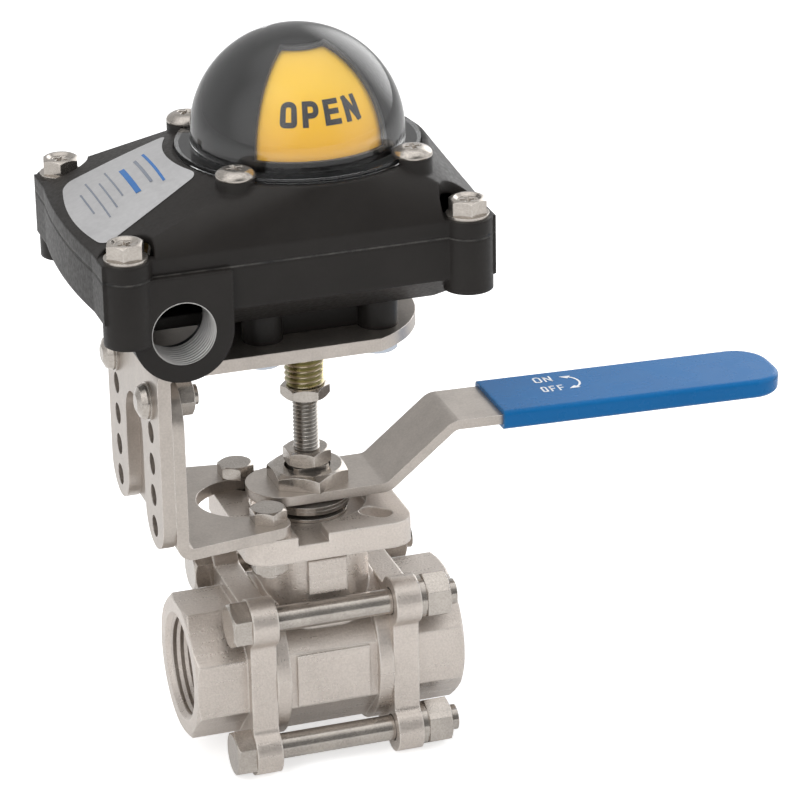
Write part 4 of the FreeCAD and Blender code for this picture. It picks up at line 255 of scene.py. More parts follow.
class Effects:
    """The shader effects that several finishes share, each built once as a node group."""

    grain_range: tuple[float, float] = (0.36, 0.64)
    patch_range: tuple[float, float] = (0.34, 0.66)
    streak_range: tuple[float, float] = (0.35, 0.65)
    edge_mottle_scale: float = 260.0
    edge_mottle_range: tuple[float, float, float, float] = (0.3, 0.7, 0.3, 1.4)

    def __init__(self) -> None:
        """Build the groups."""
        self.groups = {
            "fine grain": self.fine_grain(), "patches": self.patches(),
            "drawn streaks": self.drawn_streaks(), "edge wear and sheen": self.edge_wear_and_sheen(),
            "screw thread": self.screw_thread()}

    def place(self, sheet: Sheet, name: str, **values: Value) -> bpy.types.Node:
        """Place one effect in a material.

        Args:
            sheet: The material's nodes.
            name: Name of the effect.
            values: Its inputs.

        Returns:
            The group node.
        """
        return sheet.add("ShaderNodeGroup", values, node_tree=self.groups[name])

    def start(self, name: str, numbers: Mapping[str, float], outputs: Mapping[str, str],
              vectors: Iterable[str] = ()) -> tuple[Sheet, Mapping[str, bpy.types.NodeSocket]]:
        """Start a group with named sockets.

        Args:
            name: Name of the group.
            numbers: Number inputs and what they start at.
            outputs: Outputs and their kinds.
            vectors: Vector inputs.

        Returns:
            The group's nodes and its inputs.
        """
        group = bpy.data.node_groups.new(name, "ShaderNodeTree")
        for label in vectors:
            group.interface.new_socket(label, in_out="INPUT", socket_type="NodeSocketVector")
        for label, start in numbers.items():
            socket = group.interface.new_socket(label, in_out="INPUT",
                                                socket_type="NodeSocketFloat")
            socket.default_value = start
        for label, kind in outputs.items():
            group.interface.new_socket(label, in_out="OUTPUT", socket_type=kind)
        sheet = Sheet(group)
        return sheet, sheet.add("NodeGroupInput").outputs

    def fine_grain(self) -> bpy.types.NodeTree:
        """Build the grain of a blasted or sprayed surface.

        Returns:
            The group, with a height in metres and a mask.
        """
        outputs = {"Height": "NodeSocketFloat", "Mask": "NodeSocketFloat"}
        sheet, given = self.start("fine grain", {"Scale": 900.0, "Depth": 0.00004}, outputs)
        grain = sheet.add("ShaderNodeTexNoise", {
            "Vector": sheet.here(), "Scale": given["Scale"], "Detail": 3.0,
            "Roughness": 0.6}).outputs[0]
        sheet.add("NodeGroupOutput", {
            "Height": sheet.reckon("MULTIPLY", grain, given["Depth"]),
            "Mask": sheet.spread(grain, *self.grain_range)})
        return sheet.tree

    def patches(self) -> bpy.types.NodeTree:
        """Build soft patches of colour and shine.

        Returns:
            The group, with a mask.
        """
        sheet, given = self.start("patches", {"Scale": 60.0}, {"Mask": "NodeSocketFloat"})
        soft = sheet.add("ShaderNodeTexNoise", {
            "Vector": sheet.here(), "Scale": given["Scale"], "Detail": 4.0,
            "Roughness": 0.55}).outputs[0]
        sheet.add("NodeGroupOutput", {"Mask": sheet.spread(soft, *self.patch_range)})
        return sheet.tree

    def drawn_streaks(self) -> bpy.types.NodeTree:
        """Build the long streaks of rolled, turned or drawn metal.

        Returns:
            The group, with a height in metres and a mask.
        """
        outputs = {"Height": "NodeSocketFloat", "Mask": "NodeSocketFloat"}
        sheet, given = self.start("drawn streaks", {"Depth": 0.00001}, outputs, ["Stretch"])
        drawn = sheet.add("ShaderNodeVectorMath", {0: sheet.here(), 1: given["Stretch"]},
                          operation="MULTIPLY").outputs[0]
        streaks = sheet.add("ShaderNodeTexNoise", {
            "Vector": drawn, "Scale": 1.0, "Detail": 2.0}).outputs[0]
        sheet.add("NodeGroupOutput", {
            "Height": sheet.reckon("MULTIPLY", streaks, given["Depth"]),
            "Mask": sheet.spread(streaks, *self.streak_range)})
        return sheet.tree

    def edge_wear_and_sheen(self) -> bpy.types.NodeTree:
        """Build rounded edges and the lighter band along them, which is wear on bare metal and a
        painted highlight.

        Returns:
            The group, with the rounded normal and a mask of the edges.
        """
        outputs = {"Normal": "NodeSocketVector", "Mask": "NodeSocketFloat"}
        sheet, given = self.start("edge wear and sheen", {"Radius": 0.0006, "Amount": 4.0}, outputs)
        rounded = sheet.add("ShaderNodeBevel", {"Radius": given["Radius"]}, samples=4).outputs[0]
        flat = sheet.add("ShaderNodeNewGeometry").outputs["Normal"]
        alike = sheet.add("ShaderNodeVectorMath", {0: rounded, 1: flat},
                          operation="DOT_PRODUCT").outputs["Value"]
        turned = sheet.reckon("SUBTRACT", 1.0, alike)
        broken = sheet.add("ShaderNodeTexNoise", {
            "Vector": sheet.here(), "Scale": self.edge_mottle_scale, "Detail": 3.0}).outputs[0]
        # The lighter band along the edges is a painted highlight, and on bare metal also wear,
        # broken up by noise.
        share = sheet.reckon("MULTIPLY", turned, sheet.spread(broken, *self.edge_mottle_range))
        sheet.add("NodeGroupOutput", {
            "Normal": rounded,
            "Mask": sheet.reckon("MULTIPLY", share, given["Amount"], clamp=True)})
        return sheet.tree

    def screw_thread(self) -> bpy.types.NodeTree:
        """Build the ridges of a thread inside a hole whose axis is Z.

        Returns:
            The group, with a height in metres and a mask of the hole's wall.
        """
        outputs = {"Height": "NodeSocketFloat", "Mask": "NodeSocketFloat"}
        numbers = {"Pitch": 0.0015, "Radius": 0.01, "Start": 0.0, "Depth": 0.0008}
        sheet, given = self.start("screw thread", numbers, outputs, ["Place"])
        apart = sheet.apart(given["Place"])
        angle = sheet.reckon("DIVIDE", sheet.reckon("ARCTAN2", apart[1], apart[0]), FULL_TURN)
        turns = sheet.reckon("SUBTRACT", sheet.reckon("DIVIDE", apart[2], given["Pitch"]), angle)
        ridge = sheet.reckon("PINGPONG", turns, 0.5)
        inside = sheet.reckon("LESS_THAN", sheet.away(apart), given["Radius"])
        beyond = sheet.reckon("GREATER_THAN", sheet.reckon("ABSOLUTE", apart[2]), given["Start"])
        mask = sheet.reckon("MULTIPLY", inside, beyond)
        deep = sheet.reckon("MULTIPLY", sheet.reckon("MULTIPLY", ridge, 2.0), given["Depth"])
        sheet.add("NodeGroupOutput", {
            "Height": sheet.reckon("MULTIPLY", deep, mask), "Mask": mask})
        return sheet.tree


def start_material(name: str) -> tuple[bpy.types.Material, Sheet]:
    """Start a material with no nodes.

    Args:
        name: Name of the material.

    Returns:
        The material and its nodes.
    """
    material = bpy.data.materials.new(name)
    material.use_nodes = True
    material.node_tree.nodes.clear()
    return material, Sheet(material.node_tree)


def end_material(sheet: Sheet, values: Mapping[str, Value]) -> None:
    """Add the surface shader and the output.

    Args:
        sheet: The material's nodes.
        values: Inputs of the surface shader.
    """
    shader = sheet.add("ShaderNodeBsdfPrincipled", values)
    sheet.add("ShaderNodeOutputMaterial", {"Surface": shader.outputs[0]})


@dataclass(frozen=True)
class Thread:
    """A thread that a finish shows inside a hole, in millimetres."""

    axis: Axis
    centre: tuple[float, float, float]
    radius: float
    pitch: float
    start: float
    depth: float

    def place(self, effects: Effects, sheet: Sheet) -> bpy.types.Node:
        """Place the thread's effect in a material.

        Args:
            effects: The shared effects.
            sheet: The material's nodes.

        Returns:
            The group node.
        """
        centre = [c * MM for c in self.centre]
        return effects.place(sheet, "screw thread", Place=sheet.places(self.axis, centre),
                             Pitch=self.pitch * MM, Radius=self.radius * MM,
                             Start=self.start * MM, Depth=self.depth * MM)


@dataclass(frozen=True)
class MetalFinish:
    """Bare metal with grain, streaks, patches and brighter edges, which are wear and partly a
    painted highlight.
    """

    name: str
    light: Colour
    dark: Colour
    edge: Colour
    roughness: tuple[float, float]
    grain_scale: float = 900.0
    grain_depth: float = 0.00002
    stretch: tuple[float, float, float] = (40.0, 900.0, 900.0)
    streak_depth: float = 0.0
    patch_scale: float = 55.0
    edge_radius: float = 0.0005
    wear_and_sheen: float = 3.0
    metallic: float = 1.0
    thread: Thread | None = None

    def build(self, effects: Effects) -> bpy.types.Material:
        """Build the material.

        Args:
            effects: The shared effects.

        Returns:
            The material.
        """
        material, sheet = start_material(self.name)
        grain = effects.place(sheet, "fine grain", Scale=self.grain_scale, Depth=self.grain_depth)
        streaks = effects.place(sheet, "drawn streaks", Stretch=self.stretch,
                                Depth=self.streak_depth)
        soft = effects.place(sheet, "patches", Scale=self.patch_scale)
        edges = effects.place(sheet, "edge wear and sheen", Radius=self.edge_radius, Amount=self.wear_and_sheen)
        mottle = sheet.reckon("MULTIPLY", sheet.reckon("ADD", soft.outputs[0],
                                                       grain.outputs["Mask"]), 0.5)
        colour = sheet.blend(mottle, self.dark, self.light)
        # Lighter edges: wear, and partly a painted highlight.
        colour = sheet.blend(edges.outputs["Mask"], colour, self.edge)
        shine = sheet.spread(sheet.reckon("ADD", mottle, streaks.outputs["Mask"]), 0.0, 2.0,
                             *self.roughness)
        height = sheet.reckon("ADD", grain.outputs["Height"], streaks.outputs["Height"])
        if self.thread:
            ridges = self.thread.place(effects, sheet)
            height = sheet.reckon("ADD", height, ridges.outputs["Height"])
        end_material(sheet, {"Base Color": colour, "Metallic": self.metallic, "Roughness": shine,
                             "Normal": sheet.bump(height, edges.outputs["Normal"])})
        return material


@dataclass(frozen=True)
class PaintFinish:
    """A coat or moulded plastic with a fine skin and lighter edges, which are a painted
    highlight.
    """

    name: str
    colour: Colour
    second: Colour
    edge: Colour
    roughness: tuple[float, float]
    grain_scale: float = 700.0
    grain_depth: float = 0.00002
    patch_scale: float = 40.0
    edge_radius: float = 0.0008
    wear_and_sheen: float = 1.0
    shine: float = 0.5
    thread: Thread | None = None
    bare_dark: Colour = (0.42, 0.41, 0.40)
    bare_light: Colour = (0.66, 0.65, 0.63)

    def build(self, effects: Effects) -> bpy.types.Material:
        """Build the material.

        Args:
            effects: The shared effects.

        Returns:
            The material.
        """
        material, sheet = start_material(self.name)
        grain = effects.place(sheet, "fine grain", Scale=self.grain_scale, Depth=self.grain_depth)
        soft = effects.place(sheet, "patches", Scale=self.patch_scale)
        edges = effects.place(sheet, "edge wear and sheen", Radius=self.edge_radius, Amount=self.wear_and_sheen)
        colour = sheet.blend(soft.outputs[0], self.colour, self.second)
        # Lighter edges: a painted highlight.
        colour = sheet.blend(edges.outputs["Mask"], colour, self.edge)
        dullness = sheet.spread(grain.outputs["Mask"], 0.0, 1.0, *self.roughness)
        height = grain.outputs["Height"]
        values: dict[str, Value] = {"Specular IOR Level": self.shine}
        if self.thread:
            ridges = self.thread.place(effects, sheet)
            height = sheet.reckon("ADD", height, ridges.outputs["Height"])
            bare = ridges.outputs["Mask"]
            metal = sheet.blend(soft.outputs[0], self.bare_dark, self.bare_light)
            colour = sheet.blend(bare, colour, metal)
            values["Metallic"] = bare
        values.update({"Base Color": colour, "Roughness": dullness,
                       "Normal": sheet.bump(height, edges.outputs["Normal"])})
        end_material(sheet, values)
        return material


@dataclass(frozen=True)
class PlatedThreadFinish:
    """A plated outside thread whose crests take another tint than its roots: the roots are
    darkened as painted shade, and the lighter crests are partly a painted highlight.
    """

    name: str
    root_painted_shade: Colour
    flank: Colour
    crest: Colour
    roots_at: float
    crests_at: float
    roughness: tuple[float, float] = (0.22, 0.4)
    patch_scale: float = 240.0
    patch_share: float = 0.35
    grain_scale: float = 1400.0
    grain_depth: float = 0.00001

    def build(self, effects: Effects) -> bpy.types.Material:
        """Build the material.

        Args:
            effects: The shared effects.

        Returns:
            The material.
        """
        material, sheet = start_material(self.name)
        away = sheet.away(sheet.apart(sheet.here()))
        low, high = self.roots_at * MM, self.crests_at * MM
        middle = (low + high) / 2
        soft = effects.place(sheet, "patches", Scale=self.patch_scale)
        grain = effects.place(sheet, "fine grain", Scale=self.grain_scale, Depth=self.grain_depth)
        # Painted shade in the thread's roots, rising to the flank colour; the crest colour is a
        # tint that is partly a painted highlight.
        colour = sheet.blend(sheet.spread(away, low, middle), self.root_painted_shade, self.flank)
        colour = sheet.blend(sheet.spread(away, middle, high), colour, self.crest)
        share = sheet.reckon("MULTIPLY", soft.outputs[0], self.patch_share)
        colour = sheet.blend(share, colour, self.flank)
        end_material(sheet, {
            "Base Color": colour, "Metallic": 1.0, "Normal": sheet.bump(grain.outputs["Height"]),
            "Roughness": sheet.spread(soft.outputs[0], 0.0, 1.0, *self.roughness)})
        return material


@dataclass(frozen=True)
class TwoSideFinish:
    """The indicator's plastic, one colour on its front and back and another on its sides; its
    yellow darkens towards the bottom as painted shade.
    """

    name: str
    open_side: Colour
    open_painted_shade: Colour
    shut_side: Colour
    fade_low: float
    fade_high: float
    roughness: tuple[float, float] = (0.3, 0.42)
    grain_scale: float = 500.0
    grain_depth: float = 0.000008

    def build(self, effects: Effects) -> bpy.types.Material:
        """Build the material.

        Args:
            effects: The shared effects.

        Returns:
            The material.
        """
        material, sheet = start_material(self.name)
        apart = sheet.apart(sheet.here())
        sideways = sheet.reckon("GREATER_THAN", sheet.reckon("ABSOLUTE", apart[0]),
                                sheet.reckon("ABSOLUTE", apart[1]))
        # Painted shade: the yellow darkens towards the bottom.
        fade = sheet.spread(apart[2], self.fade_low * MM, self.fade_high * MM)
        grain = effects.place(sheet, "fine grain", Scale=self.grain_scale, Depth=self.grain_depth)
        yellow = sheet.blend(fade, self.open_painted_shade, self.open_side)
        colour = sheet.blend(sideways, yellow, self.shut_side)
        end_material(sheet, {
            "Base Color": colour, "Normal": sheet.bump(grain.outputs["Height"]),
            "Roughness": sheet.spread(grain.outputs["Mask"], 0.0, 1.0, *self.roughness)})
        return material


@dataclass(frozen=True)
class ClearFinish:
    """Clear moulded plastic that lets the light through to what it covers."""

    name: str
    tint: Colour
    roughness: float
    bending: float = 1.49
    wave_scale: float = 60.0
    wave_depth: float = 0.000001
    wave_strength: float = 0.3

    def build(self, effects: Effects) -> bpy.types.Material:
        """Build the material.

        Args:
            effects: The shared effects.

        Returns:
            The material.
        """
        material, sheet = start_material(self.name)
        waves = effects.place(sheet, "fine grain", Scale=self.wave_scale, Depth=self.wave_depth)
        wavy = sheet.bump(waves.outputs["Height"], strength=self.wave_strength)
        clear = sheet.add("ShaderNodeBsdfPrincipled", {
            "Base Color": (*self.tint, 1.0), "Roughness": self.roughness, "IOR": self.bending,
            "Transmission Weight": 1.0, "Normal": wavy})
        through = sheet.add("ShaderNodeBsdfTransparent", {"Color": (*self.tint, 1.0)})
        shadow = sheet.add("ShaderNodeLightPath").outputs["Is Shadow Ray"]
        mixed = sheet.add("ShaderNodeMixShader", {
            0: shadow, 1: clear.outputs[0], 2: through.outputs[0]})
        sheet.add("ShaderNodeOutputMaterial", {"Surface": mixed.outputs[0]})
        return material


class Finish(Enum):
    """The finishes of this object, by what they are on."""

    # In the metal and paint finishes the third colour is the lighter edge colour: a painted
    # highlight along the edges, and on bare metal also wear.
    CAST = MetalFinish(
        "cast valve metal", (0.7, 0.635, 0.58), (0.54, 0.487, 0.442), (0.95, 0.9, 0.84),
        (0.24, 0.42), grain_scale=1500.0, grain_depth=0.00013, patch_scale=45.0,
        edge_radius=0.0009, wear_and_sheen=4.0, metallic=0.74,
        thread=Thread(Axis.X, (0.0, 0.0, 0.0), 15.4, 2.309, 25.6, 1.2))
    STRIP = MetalFinish(
        "strip metal", (0.55, 0.5, 0.455), (0.42, 0.38, 0.345), (0.92, 0.87, 0.82),
        (0.28, 0.4), grain_scale=1500.0, grain_depth=0.000008, streak_depth=0.000006,
        stretch=(160.0, 1500.0, 1500.0), patch_scale=120.0, edge_radius=0.0004, wear_and_sheen=3.4,
        metallic=0.85)
    TURNED = MetalFinish(
        "turned screws and nuts", (0.56, 0.515, 0.468), (0.38, 0.348, 0.316), (0.9, 0.86, 0.81),
        (0.12, 0.24), grain_scale=1600.0, grain_depth=0.000003, patch_scale=110.0,
        edge_radius=0.0003, wear_and_sheen=2.6, metallic=0.82)
    ZINC = MetalFinish(
        "bright zinc", (0.52, 0.56, 0.62), (0.42, 0.46, 0.52), (0.72, 0.75, 0.8), (0.18, 0.3),
        grain_depth=0.000003, patch_scale=120.0, edge_radius=0.0003, wear_and_sheen=2.0)
    BRASS = MetalFinish(
        "turned brass", (0.78, 0.62, 0.32), (0.62, 0.46, 0.22), (0.9, 0.78, 0.5), (0.25, 0.4),
        grain_depth=0.000005, patch_scale=160.0, edge_radius=0.0004)
    # Stud and sleeve: the first colour is painted shade in the thread's roots; the crest colour
    # is a tint that is partly a painted highlight.
    STUD = PlatedThreadFinish(
        "zinc stud", (0.2, 0.19, 0.175), (0.42, 0.395, 0.365), (0.74, 0.71, 0.67), 3.4, 4.0)
    CHROMATE = PlatedThreadFinish(
        "yellow chromate sleeve", (0.17, 0.15, 0.06), (0.44, 0.41, 0.22), (0.82, 0.7, 0.56),
        5.2, 6.0)
    COAT = PaintFinish(
        "black powder coat", (0.0165, 0.0146, 0.0134), (0.0215, 0.0192, 0.0176),
        (0.042, 0.0385, 0.036), (0.36, 0.48), grain_scale=800.0, grain_depth=0.000018,
        edge_radius=0.0014, wear_and_sheen=1.0, shine=0.2,
        thread=Thread(Axis.Y, (-47.6, 0.0, 126.3), 9.45, 1.5, 28.8, 0.9))
    GASKET = PaintFinish(
        "rubber gasket", (0.012, 0.012, 0.012), (0.07, 0.066, 0.06), (0.03, 0.03, 0.03),
        (0.6, 0.8), patch_scale=260.0, edge_radius=0.0001, wear_and_sheen=0.0)
    RUBBER = PaintFinish(
        "black rubber", (0.02, 0.02, 0.02), (0.03, 0.03, 0.03), (0.05, 0.05, 0.05), (0.55, 0.7),
        edge_radius=0.0002)
    VINYL = PaintFinish(
        "dipped blue vinyl", (0.003, 0.125, 0.355), (0.004, 0.135, 0.375), (0.04, 0.28, 0.6),
        (0.24, 0.3), grain_scale=120.0, grain_depth=0.000003, edge_radius=0.0011, wear_and_sheen=1.6,
        shine=0.18)
    SEAT = PaintFinish(
        "white seat plastic", (0.84, 0.84, 0.82), (0.78, 0.78, 0.76), (0.9, 0.9, 0.9),
        (0.5, 0.6), edge_radius=0.0002)
    MASK = PaintFinish(
        "black indicator mask", (0.008, 0.0075, 0.0075), (0.01, 0.0095, 0.0095),
        (0.02, 0.02, 0.02), (0.3, 0.34), grain_scale=200.0, grain_depth=0.0000003,
        edge_radius=0.0002, wear_and_sheen=0.0)
    HOUSING = PaintFinish(
        "black switch plastic", (0.02, 0.02, 0.02), (0.03, 0.03, 0.03), (0.06, 0.06, 0.06),
        (0.4, 0.55), edge_radius=0.0003)
    GREEN = PaintFinish(
        "green cam plastic", (0.04, 0.36, 0.1), (0.05, 0.42, 0.13), (0.1, 0.5, 0.2), (0.4, 0.55),
        edge_radius=0.0003)
    RED = PaintFinish(
        "red cam plastic", (0.55, 0.035, 0.025), (0.62, 0.045, 0.03), (0.7, 0.1, 0.08),
        (0.4, 0.55), edge_radius=0.0003)
    GREY = PaintFinish(
        "grey terminal plastic", (0.5, 0.5, 0.48), (0.58, 0.58, 0.56), (0.66, 0.66, 0.65),
        (0.45, 0.6), edge_radius=0.0003)
    # The second colour is the painted shade that the yellow darkens to towards the bottom.
    ROTOR = TwoSideFinish(
        "indicator plastic", (0.92, 0.56, 0.025), (0.86, 0.44, 0.006), (0.5, 0.025, 0.018),
        170.0, 186.0)
    CLEAR = ClearFinish("clear dome plastic", (0.97, 0.975, 0.98), 0.03)
    PLATE = MetalFinish(
        "silver label foil", (0.74, 0.735, 0.74), (0.66, 0.655, 0.66), (0.9, 0.9, 0.9),
        (0.4, 0.52), grain_scale=600.0, grain_depth=0.000006, edge_radius=0.00005, wear_and_sheen=0.0)
    BLUE_INK = PaintFinish(
        "blue label ink", (0.03, 0.13, 0.36), (0.04, 0.16, 0.42), (0.05, 0.2, 0.5), (0.4, 0.5),
        edge_radius=0.00005, wear_and_sheen=0.0)
    GREY_INK = PaintFinish(
        "grey label ink", (0.16, 0.18, 0.22), (0.22, 0.24, 0.28), (0.25, 0.27, 0.3), (0.4, 0.5),
        edge_radius=0.00005, wear_and_sheen=0.0)
    WHITE_INK = PaintFinish(
        "white grip print", (0.9, 0.92, 0.94), (0.8, 0.83, 0.88), (0.9, 0.9, 0.9), (0.35, 0.5),
        patch_scale=500.0, edge_radius=0.00005, wear_and_sheen=0.0)
    DARK_INK = PaintFinish(
        "dark word print", (0.012, 0.012, 0.016), (0.02, 0.02, 0.026), (0.03, 0.03, 0.03),
        (0.3, 0.42), edge_radius=0.00005, wear_and_sheen=0.0)


SLOT_FINISH = {
    "cast_stainless": Finish.CAST, "stainless": Finish.TURNED, "zinc_steel": Finish.ZINC,
    "yellow_zinc_steel": Finish.CHROMATE, "black_cast_aluminium": Finish.COAT,
    "blue_vinyl": Finish.VINYL, "seat_plastic": Finish.SEAT, "rubber": Finish.RUBBER,
    "clear_plastic": Finish.CLEAR, "black_plastic": Finish.HOUSING,
    "yellow_plastic": Finish.ROTOR, "green_plastic": Finish.GREEN, "red_plastic": Finish.RED,
    "grey_plastic": Finish.GREY, "brass": Finish.BRASS}
NODE_FINISH = {
    "coupling_lower_nut": Finish.TURNED, "coupling_upper_nut": Finish.TURNED,
    "handle_lever": Finish.STRIP, "lower_bracket": Finish.STRIP, "upper_bracket": Finish.STRIP,
    "switch_plate": Finish.STRIP, "cover_gasket": Finish.GASKET, "indicator_mask": Finish.MASK}


class Wardrobe:
    """Builds each finish once and dresses objects with it."""

    def __init__(self) -> None:
        """Build the shared effects."""
        self.effects = Effects()
        self.made: dict[Finish, bpy.types.Material] = {}

    def dress(self, piece: bpy.types.Object, finish: Finish) -> None:
        """Give a piece its finish.

        Args:
            piece: The object.
            finish: Its finish.
        """
        if finish not in self.made:
            self.made[finish] = finish.value.build(self.effects)
        piece.data.materials.clear()
        piece.data.materials.append(self.made[finish])

    def dress_nodes(self) -> None:
        """Dress every CAD node by the record's slots, with the finer choices by node."""
        slots = {part["node"]: part["material_slot"] for part in frame["record"]["subparts"]}
        for name, node in frame["nodes"].items():
            self.dress(node, NODE_FINISH.get(name, SLOT_FINISH[slots[name]]))
        LOG.info("dressed %d CAD nodes", len(frame["nodes"]))


class Shell:
    """Builds the mesh of one piece from loops of points, in millimetres."""

    def __init__(self, source: bpy.types.Mesh | None = None) -> None:
        """Start an empty mesh, or a copy of one that is given in metres.

        Args:
            source: The mesh to copy, if any.
        """
        self.mesh = bmesh.new()
        if source:
            self.mesh.from_mesh(source)
            for vertex in self.mesh.verts:
                vertex.co = vertex.co / MM

    def loop(self, points: Iterable[Sequence[float]]) -> list[bmesh.types.BMVert]:
        """Add points and give their vertices."""
        return [self.mesh.verts.new(point) for point in points]

    def bridge(self, first: Sequence[bmesh.types.BMVert],
               second: Sequence[bmesh.types.BMVert]) -> None:
        """Join two closed loops of the same length by faces.

        Args:
            first: One loop.
            second: The other loop.
        """
        count = len(first)
        for i in range(count):
            j = (i + 1) % count
            self.mesh.faces.new((first[i], first[j], second[j], second[i]))

    def ribbon(self, first: Sequence[bmesh.types.BMVert],
               second: Sequence[bmesh.types.BMVert], turned: bool = False) -> None:
        """Join two open rails of the same length by faces.

        Args:
            first: One rail.
            second: The other rail.
            turned: Whether the faces look the other way.
        """
        for i in range(len(first) - 1):
            face = [first[i], first[i + 1], second[i + 1], second[i]]
            self.mesh.faces.new(face[::-1] if turned else face)

    def stack(self, loops: Sequence[Sequence[bmesh.types.BMVert]]) -> None:
        """Join each loop to the next one."""
        for low, high in zip(loops, loops[1:]):
            self.bridge(low, high)

    def close(self, loop: Sequence[bmesh.types.BMVert]) -> None:
        """Close a loop by one face."""
        self.mesh.faces.new(loop)

    def fill(self, outer: Sequence[bmesh.types.BMVert],
             inner: Sequence[bmesh.types.BMVert]) -> None:
        """Fill the flat between an outer loop and a hole.

        Args:
            outer: The outer loop.
            inner: The hole's loop.
        """
        edges = []
        for loop in (outer, inner):
            for i, vertex in enumerate(loop):
                pair = (vertex, loop[(i + 1) % len(loop)])
                edges.append(self.mesh.edges.get(pair) or self.mesh.edges.new(pair))
        bmesh.ops.triangle_fill(self.mesh, use_beauty=True, edges=edges)

    def finish(self, name: str, body: Body, slot: str, replaces: str | None = None,
               crease: float = 34.0, solid: bool = True) -> bpy.types.Object:
        """Turn the mesh into an object that rides on its body.

        Args:
            name: Name of the piece.
            body: The body that it rides on.
            slot: The record's material slot; not used.
            replaces: The CAD node that it stands for, if any.
            crease: Edges sharper than this angle stay sharp, in degrees.
            solid: Whether the mesh is closed.

        Returns:
            The object.
        """
        bmesh.ops.scale(self.mesh, vec=(MM, MM, MM), verts=self.mesh.verts)
        if solid:
            bmesh.ops.recalc_face_normals(self.mesh, faces=self.mesh.faces)
        for face in self.mesh.faces:
            face.smooth = True
        for edge in self.mesh.edges:
            edge.smooth = len(edge.link_faces) == 2 and (
                edge.calc_face_angle(0.0) < math.radians(crease))
        data = bpy.data.meshes.new(name)
        self.mesh.to_mesh(data)
        self.mesh.free()
        piece = bpy.data.objects.new(name, data)
        bpy.context.scene.collection.objects.link(piece)
        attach(piece, body.value)
        if replaces:
            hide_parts(replaces)
        LOG.info("built %s with %d faces", name, len(data.polygons))
        return piece


@dataclass
class ThreadedCoupling:
    """The stud and the sleeve that join the valve's stem to the box's shaft."""

    wardrobe: Wardrobe
    stud_pitch: float = 1.25
    stud_depth: float = 0.62
    sleeve_pitch: float = 1.75
    sleeve_depth: float = 0.95
    steps: int = 56
    rows_per_turn: int = 8
    least_rows: int = 8
    inset: float = 0.01
    end_chamfer: float = 0.15
    ridge_slope: float = 2.6
    crest_width: float = 0.12
    crease: float = 70.0

    def rod(self, node: str, name: str, pitch: float, depth: float, slot: str,
            finish: Finish) -> None:
        """Build one threaded rod in place of its plain CAD node.

        Args:
            node: The CAD node that the rod stands for.
            name: Name of the piece.
            pitch: Pitch of its thread.
            depth: Depth of its thread.
            slot: Its material slot.
            finish: Its finish.
        """
        low, high = corners(node)
        crest = min(high.x, high.y, -low.x, -low.y) - self.inset
        length = high.z - low.z
        rows = max(self.least_rows, round(length / pitch * self.rows_per_turn))
        shell = Shell()
        loops = []
        for row in range(rows + 1):
            rise = length * row / rows
            taper = min(1.0, (self.end_chamfer + rise) / depth,
                        (self.end_chamfer + length - rise) / depth)
            points = []
            for step in range(self.steps):
                angle = FULL_TURN * step / self.steps
                turn = (rise / pitch - step / self.steps) % 1.0
                ridge = min(1.0, max(
                    0.0, self.ridge_slope * abs(turn - 0.5) - self.crest_width))
                radius = min(crest - depth * ridge, crest - depth + depth * taper)
                points.append((radius * math.cos(angle), radius * math.sin(angle), low.z + rise))
            loops.append(shell.loop(points))
        shell.stack(loops)
        shell.close(loops[0])
        shell.close(loops[-1])
        piece = shell.finish(name, Body.DRIVE, slot, node, crease=self.crease)
        self.wardrobe.dress(piece, finish)

    def build(self) -> None:
        """Build the stud and the sleeve."""
        self.rod("coupling_stud", "threaded_stud", self.stud_pitch, self.stud_depth,
                 "zinc_steel", Finish.STUD)
        self.rod("coupling_sleeve", "threaded_sleeve", self.sleeve_pitch, self.sleeve_depth,
                 "yellow_zinc_steel", Finish.CHROMATE)


